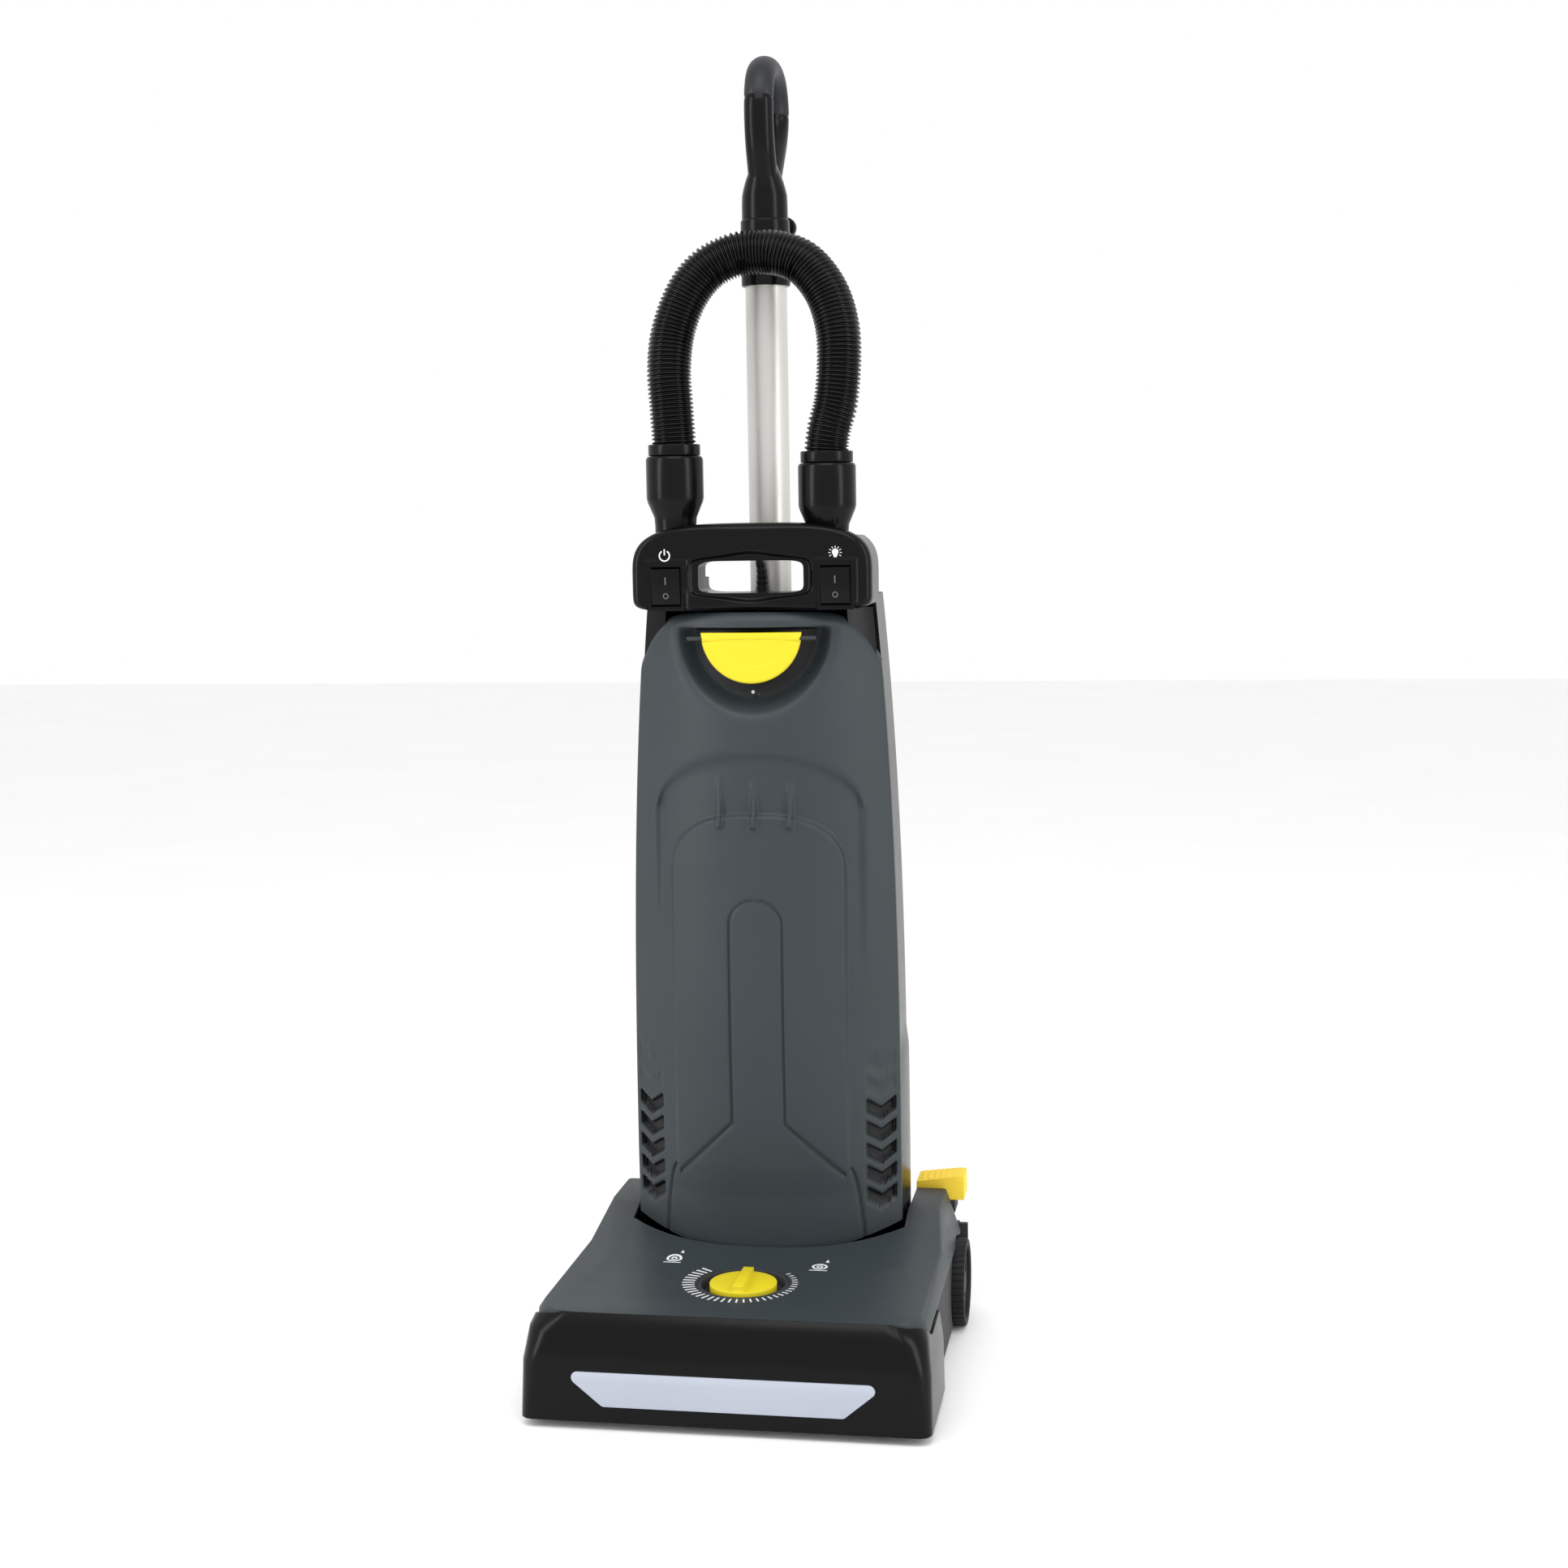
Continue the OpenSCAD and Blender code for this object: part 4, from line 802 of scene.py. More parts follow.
@dataclass
class Housing:
    """Black rear housing with its floor, shelf and deck, and the corners that close behind the door."""

    seam: float = 0.0604
    back: float = 0.150
    corner: float = 0.034
    low: float = 0.075
    high: float = 0.728
    wall: float = 0.003

    def plan(self, z: Array, inset: float, u: Array) -> Array:
        """U-shaped plan at a height: side, round corner and back, each a fixed share of u.

        Args:
            z: Height of each row.
            inset: How far the wall is drawn in.
            u: From -1 at the left seam to 1 at the right one.

        Returns:
            Grid of points.
        """
        bulge = 0.0026 * soft_step(0.292 - z, 0.026)
        half = DOOR.half_width(z) - 0.0008 - inset
        r = self.corner - inset
        a = np.abs(u)
        side = np.clip((a - 0.62) / 0.38, 0, 1)
        turn = np.clip((0.62 - a) / 0.26, 0, 1) * np.pi / 2
        inner = np.clip(1 - a / 0.36, 0, 1)
        straight = self.back - inset - r
        y = np.where(a > 0.62, straight + (self.seam - straight) * side, straight + r * np.sin(turn))
        x = np.where(a > 0.62, half, half - r + r * np.cos(turn))
        x = np.where(a < 0.36, (half - r) * (1 - inner), x)
        swell = np.sin(np.pi * np.clip((y - self.seam) / (self.back - self.seam), 0, 1)) * bulge
        return np.stack(np.broadcast_arrays((x + swell) * np.sign(u + 1e-12), y, z), axis=2)

    def build(self) -> None:
        """Makes the shell with its plates and the tube's socket as one moulding."""
        u = np.linspace(-1.0, 1.0, 101)[None, :]
        z = np.linspace(self.low, self.high, 121)[:, None]
        parts = [shell_mesh(self.plan(z, 0.0, u), self.plan(z, self.wall, u))]
        for level in (self.low, 0.330, self.high - self.wall):
            rim = self.plan(np.array([[level]]), 0.001, u)[0, :, :2]
            parts.append(prism(rim, level, level + self.wall, Axis.Z))
        tube = [(0.0202, 0.560), (0.025, 0.560), (0.025, 0.727), (0.0202, 0.727)]
        parts.append(turned(tube, Axis.Z, (0, 0.118, 0), 48))
        shell = make_piece("housing_shell", *joined(*parts), sharp=35.0)
        fit(shell, BLACK, "body", "black_shell", "rear_housing")
        self.corners()

    def corners(self) -> None:
        """Black corners of the body that show beyond the door's round top corners."""
        parts = []
        for sign in (-1.0, 1.0):
            s = np.linspace(0.80, 1.0, 16)[None, :]
            z = np.linspace(0.640, 0.7165, 20)[:, None]
            half = DOOR.half_width(z) - 0.0035
            x = sign * half * s
            y = DOOR.depth_at(x * half / (half + 0.0035), z) + 0.0045
            outer = np.stack(np.broadcast_arrays(x, y, z), axis=2)
            parts.append(shell_mesh(outer, offset_grid(outer, 0.0022, (0, 0.1, 0.68))))
            ys = np.linspace(float(y[:, -1].mean()), 0.061, 6)[None, :]
            edge = sign * (half + 0 * ys)
            wall = np.stack(np.broadcast_arrays(edge, ys, z), axis=2)
            parts.append(shell_mesh(wall, wall - np.array([sign * 0.0022, 0, 0])))
        fit(make_piece("body_corners", *joined(*parts)), BLACK, "body", "black_shell")


class Controls:
    """Top panel with its handle, the two switches and their printed marks."""

    front: float = 0.0047
    switch_x: float = 0.080
    switch_z: float = 0.7385

    def build(self) -> None:
        """Makes the panel, rounds the CAD bezels and rockers, and prints the marks."""
        self.panel()
        for node in ("power_bezel", "light_bezel"):
            fit(softened(node, 0.0006), BLACK, "body", "black_shell", node)
        for node, body in (("power_rocker", "power_switch"), ("light_rocker", "light_switch")):
            fit(softened(node, 0.0006), BLACK, body, "black_matte", node)
        self.rocker_marks()
        self.power_mark()
        self.lamp_mark()

    def panel(self) -> None:
        """Panel as rings round the handle's window: lining, face and sides, in polar (turn, radius, y).

        Window and outline are superellipses |cos/a|^p + |sin/b|^p = r^-p. The face is sunk round the window
        and round both switches, and its rim is a quarter circle.
        """
        turn = np.linspace(0, 2 * np.pi, 480, endpoint=False)[None, :]
        c, s = np.cos(turn), np.sin(turn)
        mid, rim, wall = 0.747, 0.0085, 0.0024  # height of the window's middle, radius of the rim, thickness
        pocket_depth, bezel_depth = 0.0112, 0.0012

        def oval(a: float, b: Array, p: Array) -> Array:
            return (np.abs(c / a) ** p + np.abs(s / b) ** p) ** (-1 / p)

        hole = oval(0.0498, 0.0149 + 0 * s, 7.0 + 0 * s)
        edge = oval(0.1135, np.where(s > 0, 0.050, 0.0316), np.where(s > 0, 3.4, 9.0))
        t = np.linspace(0, 1, 72)[:, None] ** 0.9
        radius = hole + (edge - hole) * t
        x, z = radius * c, radius * s
        left = np.minimum(rim, (1 - t) * (edge - hole))
        face = self.front + rim - np.sqrt(rim**2 - (rim - left) ** 2)
        face = face + 0.0042 * soft_step(0.0075 - t * (edge - hole), 0.006)
        for side in (-1, 1):
            dx, dz = np.abs(x - side * self.switch_x), np.abs(z + mid - self.switch_z)
            face = face + pocket_depth * soft_step(np.minimum(0.0159 - dx, 0.0209 - dz), 0.0022)
            face = face + bezel_depth * soft_step(np.minimum(0.0205 - dx, 0.0250 - dz), 0.002)
        ox = np.abs(edge * c)
        lip = np.where(s > 0, 0.044, 0.060) + 0 * c
        back = np.where(s > 0, np.where(ox < 0.049, 0.044, np.where(ox < 0.0985, 0.0149, 0.060)), 0.060)
        back = np.maximum(back, face[-1:] + 0.0008)
        k = np.linspace(0, 1, 9)[:, None]
        y = np.vstack([lip + (face[:1] - lip) * k[:-1], face, face[-1:] + (back - face[-1:]) * k[1:]])
        r = np.vstack([np.repeat(hole, 8, 0), radius, np.repeat(edge, 8, 0)])
        ry = np.vstack([lip, y[1:-1] + wall, back])
        ri = np.clip(r, hole + wall, edge - wall)
        skins = [
            np.stack(np.broadcast_arrays(rr * c, yy, mid + rr * s), axis=2)
            for rr, yy in ((r, y), (ri, np.minimum(ry, np.maximum(lip, back) - 0.0001 * (ry < y[0:1]))))
        ]
        rows, columns = r.shape
        number = np.arange(rows * columns).reshape(rows, columns)
        front = grid_faces(rows, columns, False, True)
        faces = [*front, *(front[:, ::-1] + number.size)]
        faces += [*ring_faces(number[0], number[0] + number.size), *ring_faces(number[-1] + number.size, number[-1])]
        plate = np.array([(0.7635, -0.050), (0.7635, 0.046), (0.7925, 0.046), (0.7935, 0.0), (0.7925, -0.050)])
        shell = (np.vstack([skin.reshape(-1, 3) for skin in skins]), faces)
        panel = make_piece("carry_panel", *joined(shell, prism(plate, 0.0395, 0.0435, Axis.Y, 0.0008)), sharp=50.0)
        fit(panel, BLACK, "body", "black_shell", "top_panel")

    def flat(self, outline: Array, y: float) -> tuple[Array, list[Any]]:
        """Thin printed shape on a face that looks to the front; the outline is (x, z)."""
        swapped = np.asarray(outline, float)[:, ::-1]
        return prism(swapped, y - 0.00015, y + 0.0004, Axis.Y)

    def rocker_marks(self) -> None:
        """Bar above and ring below on each rocker, laid on its two faces."""
        for name, body, side in (("power", "power_switch", -1), ("light", "light_switch", 1)):
            x0, z0 = side * self.switch_x, self.switch_z
            bar = np.array([(-0.0005, 0.002), (0.0005, 0.002), (0.0005, 0.009), (-0.0005, 0.009)])
            parts = [self.flat(bar + (x0, z0), 0.0034)]
            for a0 in np.linspace(0, 2 * np.pi, 16, endpoint=False):
                parts.append(self.flat(ring_part(0.0019, 0.0027, a0, a0 + 0.42) + (x0, z0 - 0.0085), 0.0034))
            mark = make_piece(f"{name}_rocker_marks", *joined(*self.leaning(parts, z0)))
            fit(mark, FAINT, body, "black_matte")

    def leaning(self, parts: list[tuple[Array, list[Any]]], z0: float) -> list[tuple[Array, list[Any]]]:
        """The marks moved on to the rocker's sloping face: y follows the face's line in z."""
        laid = []
        for points, faces in parts:
            moved = points.copy()
            rel = moved[:, 2] - z0
            face_y = 0.0055 - 0.003 * (rel + 0.0165) / 0.0325
            middle = moved[:, 1].mean()
            moved[:, 1] = face_y + (moved[:, 1] - middle) - 0.0001
            laid.append((moved, faces))
        return laid

    def power_mark(self) -> None:
        """Open ring with an upright bar."""
        centre = np.array([-0.0805, 0.7675])
        gaps = np.linspace(math.radians(120), math.radians(420), 25)
        parts = [
            self.flat(ring_part(0.0042, 0.0054, a, b) + centre, self.front) for a, b in zip(gaps[:-1], gaps[1:])
        ]
        bar = np.array([(-0.0006, 0.0005), (0.0006, 0.0005), (0.0006, 0.0062), (-0.0006, 0.0062)])
        parts.append(self.flat(bar + centre, self.front))
        fit(make_piece("power_mark", *joined(*parts)), PRINT, "body", "black_shell")

    def lamp_mark(self) -> None:
        """Filled bulb with short rays."""
        centre = np.array([0.0805, 0.7685])
        a = np.linspace(-0.25 * np.pi, 1.25 * np.pi, 30)
        bulb = np.stack([0.0030 * np.cos(a), 0.0030 * np.sin(a) + 0.0006], axis=1)
        foot = np.array([(-0.0013, -0.0042), (0.0013, -0.0042)])
        parts = [self.flat(np.vstack([bulb, foot]) + centre, self.front)]
        for ray in np.radians(np.arange(-30, 211, 30)):
            parts.append(self.flat(ring_part(0.0042, 0.0062, ray - 0.06, ray + 0.06) + centre, self.front))
        fit(make_piece("lamp_mark", *joined(*parts)), PRINT, "body", "black_shell")


def ring_part(inner: float, outer: float, start: float, end: float, steps: int = 4) -> Array:
    """Outline of a piece of a ring between two angles."""
    a = np.linspace(start, end, steps)
    out = np.stack([outer * np.cos(a), outer * np.sin(a)], axis=1)
    back = np.stack([inner * np.cos(a[::-1]), inner * np.sin(a[::-1])], axis=1)
    return np.vstack([out, back])


# ---- handle ----


class Handle:
    """Loop grip with its socket and soft pad, and the two cord hooks; the handle tube gets its finish in main."""

    loop = (
        (114, 1112), (108, 1130), (99, 1150), (94, 1172), (95, 1195), (104, 1215), (122, 1226), (146, 1228),
        (168, 1221), (181, 1204), (181, 1184), (170, 1164), (153, 1145), (137, 1128), (124, 1110),
    )

    def build(self) -> None:
        """Sweeps the grip and its pad, turns the socket, and rounds the hooks."""
        steps = 8
        line = smooth_path([(0.0, y * MM, z * MM) for y, z in self.loop], steps)
        share = np.linspace(0, len(self.loop) - 1, len(line))
        padded = soft_step(share - 4.0, 0.3) * soft_step(9.6 - share, 0.3)
        loop = swept(line, 0.0140 - 0.0012 * padded, 0.0120 - 0.0012 * padded, 32, (1, 0, 0))
        part = (share > 3.95) & (share < 9.65)
        ends = np.minimum(share[part] - share[part][0], share[part][-1] - share[part])
        swell = 0.0013 * soft_step(ends, 0.3)
        pad = swept(line[part], 0.0128 + swell, 0.0108 + swell, 32, (1, 0, 0))
        grip = make_piece("loop_grip", *joined(loop, self.socket(), self.neck(), self.boss()), sharp=45.0)
        fit(grip, BLACK, "body", SLOT_OF["handle_grip"], "handle_grip")
        fit(make_piece("loop_pad", *pad), SOFT, "body", SLOT_OF["grip_pad"], "grip_pad")
        soften("cord_hook", BLACK, 0.002, 3)
        soften("lower_hook", BLACK, 0.0012, 2)

    def socket(self) -> tuple[Array, list[Any]]:
        """Sleeve round the tube with two bands."""
        profile = [
            (0.0202, 1.022), (0.0225, 1.022), (0.0235, 1.0232), (0.0235, 1.0826), (0.0232, 1.0838),
            (0.0221, 1.0846), (0.0220, 1.100), (0.0216, 1.108), (0.0202, 1.108),
        ]
        return turned(profile, Axis.Z, (0, 0.118, 0), 64)

    def neck(self) -> tuple[Array, list[Any]]:
        """Web that closes the socket and fills the crotch of the loop, narrowing upwards."""
        z = np.array([1.100, 1.108, 1.116, 1.124, 1.131, 1.138, 1.143, 1.147])
        y = np.array([0.118, 0.118, 0.1185, 0.1195, 0.1205, 0.1215, 0.122, 0.122])
        across = np.array([0.0216, 0.0214, 0.0196, 0.0170, 0.0142, 0.0112, 0.0080, 0.0030])
        deep = np.array([0.0216, 0.0216, 0.0213, 0.0212, 0.0205, 0.0170, 0.0110, 0.0040])
        line = smooth_path(np.stack([0 * z, y, z, across, deep], axis=1), 4)
        return swept(line[:, :3], line[:, 3], line[:, 4], 48, (1, 0, 0))

    def boss(self) -> tuple[Array, list[Any]]:
        """Boss that the upper hook turns on."""
        profile = [(0.0042, 0.120), (0.012, 0.120), (0.012, 0.1428), (0.0112, 0.144), (0.0042, 0.144)]
        return turned(profile, Axis.Y, (0, 0, 1.083), 40)


# ---- head ----


class Head:
    """Powered head: cover, bumper, lens, height knob with its scale, pedal, wheels and tyres."""

    top: float = 0.103
    knob_y: float = -0.090

    def build(self) -> None:
        """Rounds the CAD shapes, prints the scale and gives the tyres their tread."""
        soften("head_cover", GREY, 0.0035, 4)
        soften("front_bumper", BLACK, 0.0022, 3)
        soften("light_lens", LENS, 0.0010, 2)
        soften("knob_well", MATTE, 0.0010, 2)
        soften("height_knob", YELLOW, 0.0011, 2)
        soften("foot_pedal", PEDAL, 0.0016, 3)
        for side in ("left", "right"):
            soften(f"wheel_{side}", MATTE, 0.0008, 2)
            self.tyre(side)
        self.scale()

    def tyre(self, side: str) -> None:
        """Tyre: a rounded section turned once, its tread cut by lateral grooves in angle."""
        low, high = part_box(f"tyre_{side}")
        middle, half = 0.5 * (low[0] + high[0]), 0.5 * (high[0] - low[0])
        centre_y, centre_z = 0.5 * (low[1] + high[1]), 0.5 * (low[2] + high[2])
        radius = 0.5 * (high[2] - low[2])
        a = np.linspace(0, 2 * np.pi, 40, endpoint=False)
        across = half * np.sign(np.cos(a)) * np.abs(np.cos(a)) ** 0.35
        depth = 0.5 + 0.5 * np.sign(np.sin(a)) * np.abs(np.sin(a)) ** 0.35
        turn = np.linspace(0, 2 * np.pi, 360, endpoint=False)[:, None]
        groove = 0.0011 * soft_step(np.cos(turn * 40 + across / half * 0.9) - 0.72, 0.35)
        r = radius - 0.008 * (1 - depth) - groove * (depth > 0.9)
        grid = np.stack(
            np.broadcast_arrays(middle + across, centre_y + r * np.cos(turn), centre_z + r * np.sin(turn)), axis=2
        )
        tyre = make_piece(f"tread_{side}", grid.reshape(-1, 3), list(grid_faces(360, 40, True, True)), 50.0)
        fit(tyre, RUBBER, f"{side}_wheel", SLOT_OF[f"tyre_{side}"], f"tyre_{side}")

    def print_on_top(self, outline: Array) -> tuple[Array, list[Any]]:
        """Thin printed shape on the cover, whose top rises by 0.24 of y behind y = -30 mm."""
        points, faces = prism(outline, self.top - 0.0004, self.top + 0.0002, Axis.Z)
        points[:, 2] += 0.24 * np.clip(points[:, 1] + 0.030, 0, None)
        return points, faces

    def scale(self) -> None:
        """White ticks round the knob, long on the left and short on the right, and two brush icons."""
        parts = []
        for share in np.linspace(0.0, 1.0, 36):
            angle = math.radians(142.0 + 256.0 * share)
            outer = 0.0580 - 0.0085 * share
            half = 0.021 - 0.009 * share
            tick = ring_part(0.0450, outer, angle - half, angle + half, 3) + (0.0, self.knob_y)
            parts.append(self.print_on_top(tick))
        for x, y in ((-0.078, -0.030), (0.063, -0.037)):
            for inner, outer in ((0.0052, 0.0076), (0.0016, 0.0032)):
                edges = np.linspace(0, 2 * np.pi, 25)
                parts += [
                    self.print_on_top(ring_part(inner, outer, a, b, 3) + (x, y)) for a, b in zip(edges[:-1], edges[1:])
                ]
            bar = np.array([(-0.0085, -0.0112), (0.0085, -0.0112), (0.0085, -0.0098), (-0.0085, -0.0098)])
            arrow = np.array([(0.0040, 0.0105), (0.0075, 0.0105), (0.0058, 0.0150)])
            parts += [self.print_on_top(bar + (x, y)), self.print_on_top(arrow + (x, y))]
        fit(make_piece("knob_scale", *joined(*parts)), PRINT, "head", "black_matte")


# ---- cords ----


@dataclass
class MainsCord:
    """Mains cord: from the gland round the tube, wound on the lower hook, and down to the plug."""

    radius: float = 0.00375
    length: float = 10.0
    centre: tuple[float, float, float] = (0.0, 0.172, 0.626)
    ring: float = 0.0673
    pitch: float = 0.0075
    row: float = 0.0064

    lead = (
        (-3, 87, 740), (-4, 87.3, 752), (-6, 88, 762), (-14, 93, 777), (-26, 104, 787), (-34, 122, 790),
        (-34, 145, 785), (-29, 162, 769), (-18, 172, 748), (-2, 175, 728), (18, 176, 713),
    )
    tail = ((80, 181, 598), (80, 183, 570), (79, 184, 545), (75, 182, 520), (72, 180, 499), (72, 180, 492))
    order = (
        (3, 0.5), (3, -0.5), (2, -1), (2, 0), (1, 0.5), (1, -0.5), (1, -1.5), (0, -2), (0, -1), (0, 0),
        (-1, -0.5), (-1, -1.5), (-2, -1), (-2, 0), (-3, -0.5), (-3, 0.5), (-2, 1), (-1, 0.5), (-1, 1.5),
        (0, 1), (0, 2), (1, 1.5), (2, 1),
    )

    def coil(self) -> Array:
        """Wound stretch: the angle falls steadily, and each turn slides to the next place in the section."""
        turns = len(self.order) - 1 + 1 / 6
        n = np.linspace(0.0, turns, int(turns * 60))
        place = np.array(self.order, float) * (self.row, self.pitch)
        k = np.minimum(n.astype(int), len(place) - 1)
        after = np.minimum(k + 1, len(place) - 1)
        share = soft_step(n - k - 0.85, 0.30)[:, None]
        at = place[k] * (1 - share) + place[after] * share
        angle = np.radians(60.0) - 2 * np.pi * n
        r = self.ring + at[:, 0]
        cx, cy, cz = self.centre
        return np.stack([cx + r * np.cos(angle), cy + at[:, 1], cz + r * np.sin(angle)], axis=1)

    def path(self) -> Array:
        """The whole cord's middle line."""
        coil = self.coil()
        lead = smooth_path([*(np.array(self.lead) * MM), coil[0], coil[2]], 8)[:-8]
        tail = smooth_path([coil[-3], coil[-1], *(np.array(self.tail) * MM)], 8)[8:]
        return np.vstack([even_path(lead, 0.004), coil[1:-1], even_path(tail, 0.004)])

    def build(self) -> None:
        line = self.path()
        tube = swept(line, self.radius, self.radius, 12, (0.1, 1.0, 0.05))
        cord = make_piece("power_cord", *tube, sharp=60.0)
        fit(cord, CORD, "body", SLOT_OF["mains_cord"], "mains_cord", "cord_coil")
        plug = self.plug()
        self.gland()
        self.tie()
        LOG.info("mains cord is %.2f m long", path_length(line))

    def plug(self) -> bpy.types.Object:
        """Moulded plug with a ribbed collar and two pins."""
        profile = [
            (0.0, 0.446), (0.0150, 0.446), (0.0160, 0.4472), (0.0160, 0.470), (0.0152, 0.476), (0.0120, 0.481),
            (0.0092, 0.484), (0.0088, 0.487), (0.0076, 0.4872), (0.0076, 0.489), (0.0084, 0.4892),
            (0.0082, 0.492), (0.0068, 0.4922), (0.0068, 0.494), (0.0076, 0.4942), (0.0072, 0.498),
            (0.0050, 0.4995), (0.0, 0.4995),
        ]
        body = make_piece("plug_body", *turned(profile, Axis.Z, (0.072, 0.180, 0), 48), sharp=50.0)
        fit(body, CORD, "body", SLOT_OF["mains_plug"], "mains_plug")
        pin = [(0.0, 0.427), (0.0017, 0.4272), (0.0024, 0.4295), (0.0024, 0.448), (0.0, 0.448)]
        pins = [turned(pin, Axis.Z, (x, 0.180, 0), 24) for x in (0.0625, 0.0815)]
        fit(make_piece("plug_pins", *joined(*pins)), STEEL, "body", "steel")
        return body

    def gland(self) -> None:
        """Tapered strain relief with a collar on the deck and five rings."""
        rise = np.linspace(0.0, 1.0, 41)
        rings = 0.0004 * (np.cos(rise * 2 * np.pi * 5) > 0.2)
        radius = 0.0064 - 0.0017 * rise - rings * (rise > 0.05) * (rise < 0.95)
        side = [(r, 0.732 + 0.027 * t) for r, t in zip(radius, rise)]
        profile = [(0.0, 0.720), (0.0078, 0.720), (0.0095, 0.7282), (0.0092, 0.7300), (0.0080, 0.7312), *side, (0.0, 0.7592)]
        points, faces = turned(profile, Axis.Z, (-0.003, 0.087, 0), 40)
        bend = np.clip((points[:, 2] - 0.745) / 0.014, 0, 1) ** 2
        points[:, 0] -= 0.0018 * bend
        fit(make_piece("cord_relief", points, faces, 50.0), CORD, "body", SLOT_OF["cord_gland"], "cord_gland")

    def tie(self) -> None:
        """Strap round the coil's lowest point: an oval band."""
        a = np.linspace(0, 2 * np.pi, 65)[:-1]
        cz = self.centre[2] - self.ring
        bands = []
        for grow in (0.0, 0.0011):
            y = self.centre[1] + (0.0199 + grow) * np.cos(a)
            z = cz + (0.0238 + grow) * np.sin(a)
            bands.append(np.stack([y, z], axis=1))
        x = (-0.007, 0.007)
        rings = [np.column_stack([np.full(64, x[i]), bands[j]]) for i, j in ((0, 0), (0, 1), (1, 1), (1, 0))]
        strap = make_piece("coil_strap", np.vstack(rings), list(grid_faces(4, 64, True, True)), 40.0)
        fit(strap, RUBBER, "body", SLOT_OF["coil_tie"], "coil_tie")


@dataclass
class SuctionHose:
    """Ribbed hose that stands in an arch between the two cuffs."""

    rib: float = 0.0039

    route = (
        (-76, 37, 838), (-76, 37, 846), (-76, 37, 872), (-78, 38, 905), (-80, 40, 940), (-77, 46, 975),
        (-65, 52, 1009), (-47, 59, 1033), (-23, 64, 1046), (0, 66, 1049), (22, 64, 1047), (47, 60, 1036),
        (68, 53, 1010), (79, 46, 978), (81, 42, 945), (78, 39, 908), (72, 37, 884), (69, 37, 864), (69, 37, 836),
        (69, 37, 828),
    )

    def build(self) -> None:
        """Sweeps the hose: its radius follows a cosine of the length with the pitch of the ribs."""
        line = even_path(smooth_path(np.array(self.route) * MM, 12), self.rib / 7)
        run = np.concatenate([[0], np.cumsum(np.linalg.norm(np.diff(line, axis=0), axis=1))])
        wave = np.cos(2 * np.pi * run / self.rib)
        radius = 0.0196 + 0.0013 * np.sign(wave) * np.abs(wave) ** 0.6
        hose = make_piece("ribbed_hose", *swept(line, radius, radius, 44, (0, 1, 0)), sharp=75.0)
        fit(hose, HOSE, "body", SLOT_OF["suction_hose"], "suction_hose")
        soften("cuff_left", BLACK, 0.0010, 3)
        soften("cuff_right", BLACK, 0.0010, 3)
        soften("hose_ports", BLACK, 0.0010, 2)
        soften("hose_rings", BLACK, 0.0010, 2)


# ---- inside ----


def dust_bag() -> None:
    """Filled filter bag: a superellipsoid with soft folds, slack at its corners."""
    low, high = (np.array(c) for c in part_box("dust_bag"))
    middle, half = (low + high) / 2, (high - low) / 2 - 0.0015
    v = np.linspace(-np.pi / 2, np.pi / 2, 120)[:, None]
    u = np.linspace(0, 2 * np.pi, 240, endpoint=False)[None, :]

    def pull(t: Array, power: float) -> Array:
        return np.sign(t) * np.abs(t) ** power

    x = pull(np.cos(v), 0.35) * pull(np.cos(u), 0.45)
    y = pull(np.cos(v), 0.35) * pull(np.sin(u), 0.45)
    z = pull(np.sin(v), 0.45) + 0 * u
    fold = 0.0016 * np.sin(9 * x + 3 * z) * np.sin(7 * z + 2 * x) - 0.0014 * np.abs(x * z) ** 3
    sunk = 1 - 0.02 - np.abs(fold) * 12
    grid = middle + np.stack(np.broadcast_arrays(x, y, z), axis=2) * half * sunk[..., None]
    bag = make_piece("filter_bag", grid.reshape(-1, 3), list(grid_faces(120, 240, False, True)), 70.0)
    fit(bag, BAG, "body", SLOT_OF["dust_bag"], "dust_bag")


def soften(node: str, finish: Finish, width: float, segments: int = 2) -> bpy.types.Object:
    """Rounded copy of a CAD node, with its finish, on the node's own body."""
    return fit(softened(node, width, segments), finish, BODY_OF[node], SLOT_OF[node], node)


INSIDE = {
    "head_base": MATTE, "sole_plate": STEEL, "led_board": BOARD, "brush_motor": MOTOR, "motor_pulley": STEEL,
    "drive_belt": RUBBER, "brush_cradle": MATTE, "brush_core": MATTE, "brush_bristles": BRISTLE,
    "rear_axle": STEEL, "trunnion_bushes": BUSH, "front_axles": STEEL, "roller_left": MATTE,
    "roller_right": MATTE, "pedal_pin": STEEL, "pedal_lever": MATTE, "pedal_spring": STEEL,
    "head_screws": STEEL, "pivot_frame": MATTE, "suction_motor": MOTOR, "fan_rotor": FAN,
    "exhaust_filter": FILTER, "bag_collar": COLLAR, "handle_tube": TUBE, "body_screws": STEEL,
}


# ---- stage ----


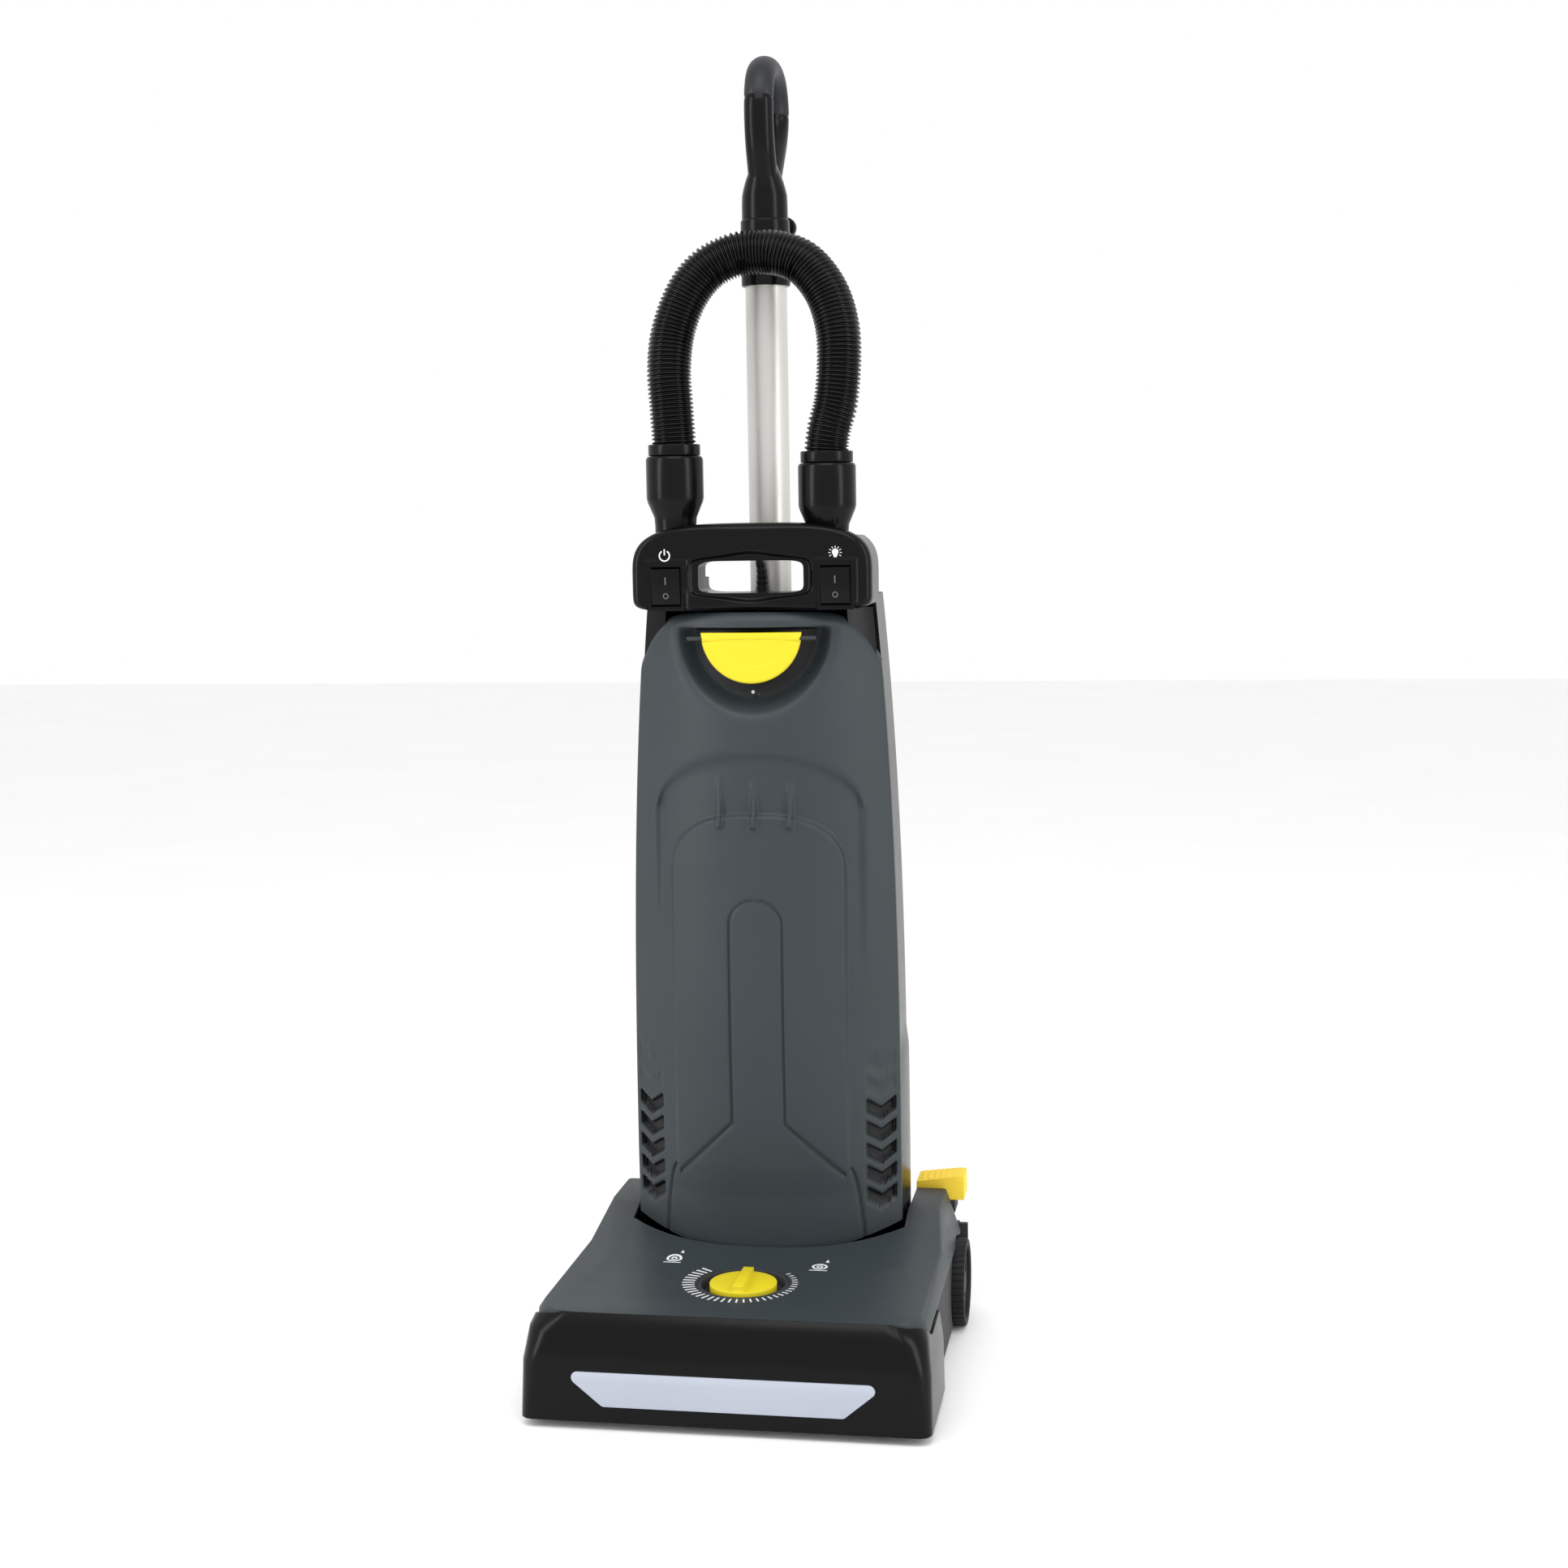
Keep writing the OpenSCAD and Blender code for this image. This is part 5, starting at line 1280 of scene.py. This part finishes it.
class Studio:
    """Pale floor, soft light from both sides and the camera."""

    place = (0.3911, -2.0936, 0.8010)
    forward = (-0.16884, 0.97888, -0.11534)
    right = (0.98545, 0.16997, 0.0)
    up = (-0.01960, 0.11366, 0.99334)
    roll = -0.0162

    def build(self) -> None:
        """Makes the floor, the lights and the camera."""
        self.floor()
        self.world()
        self.area("left_light", (-1.9, -1.3, 1.3), (0.5, 2.4), 26.0)
        self.area("right_light", (2.1, -0.9, 1.3), (0.5, 2.4), 22.0)
        self.area("top_light", (0.2, -1.4, 2.9), (2.0, 1.4), 30.0)
        self.camera()

    def floor(self) -> None:
        """Plain pale floor."""
        g = Graph("floor_pale")
        place = g.node("ShaderNodeTexCoord", {}, {}, "Object")
        noise = g.node("ShaderNodeTexNoise", {}, {"Vector": place, "Scale": 3.0, "Detail": 3.0})
        g.shade(
            Base_Color=g.node(
                "ShaderNodeMix", {"data_type": "RGBA"},
                {"Factor": noise, 6: (0.90, 0.90, 0.90, 1.0), 7: (0.94, 0.94, 0.94, 1.0)}, 2,
            ),
            Roughness=0.7,
        )
        side = 9.0
        mesh = bpy.data.meshes.new("floor")
        mesh.from_pydata([(-side, -side, 0), (side, -side, 0), (side, side, 0), (-side, side, 0)], [], [(0, 1, 2, 3)])
        floor = bpy.data.objects.new("floor", mesh)
        bpy.context.scene.collection.objects.link(floor)
        mesh.materials.append(g.material)

    def world(self) -> None:
        """Near-white surroundings."""
        world = bpy.data.worlds.new("surroundings")
        world.use_nodes = True
        world.node_tree.nodes["Background"].inputs["Color"].default_value = (1.0, 1.0, 1.0, 1.0)
        world.node_tree.nodes["Background"].inputs["Strength"].default_value = 1.0
        bpy.context.scene.world = world
        bpy.context.scene.view_settings.view_transform = "Standard"

    def area(self, name: str, place: Sequence[float], size: Sequence[float], power: float) -> None:
        """Soft rectangular light aimed at the machine's middle."""
        light = bpy.data.lights.new(name, "AREA")
        light.shape, light.size, light.size_y, light.energy = "RECTANGLE", size[0], size[1], power
        lamp = bpy.data.objects.new(name, light)
        away = np.array(place) - np.array([0.0, 0.0, 0.6])
        away /= np.linalg.norm(away)
        across = np.cross([0.0, 0.0, 1.0], away)
        across /= np.linalg.norm(across)
        lamp.matrix_world = Matrix(
            np.vstack([np.column_stack([across, np.cross(away, across), away, place]), [0, 0, 0, 1]]).tolist()
        )
        bpy.context.scene.collection.objects.link(lamp)

    def camera(self) -> None:
        """Camera in the place that the machine is seen from."""
        data = bpy.data.cameras.new("camera")
        data.sensor_width, data.lens, data.clip_start, data.clip_end = 36.0, 52.63, 0.05, 60.0
        camera = bpy.data.objects.new("camera", data)
        right, up = np.array(self.right), np.array(self.up)
        c, s = math.cos(self.roll), math.sin(self.roll)
        x, y = c * right + s * up, -s * right + c * up
        columns = np.column_stack([x, y, -np.array(self.forward), self.place])
        camera.matrix_world = Matrix(np.vstack([columns, [0, 0, 0, 1]]).tolist())
        bpy.context.scene.collection.objects.link(camera)
        bpy.context.scene.camera = camera


def main() -> None:
    """Builds every piece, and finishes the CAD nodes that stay."""
    logging.basicConfig(level=logging.INFO, format="%(name)s: %(message)s")
    Studio().build()
    MainsCord().build()
    SuctionHose().build()
    DOOR.build()
    Housing().build()
    Controls().build()
    Handle().build()
    Head().build()
    dust_bag()
    for node, finish in INSIDE.items():
        paint(frame["nodes"][node], finish)


if __name__ == "__main__":
    main()
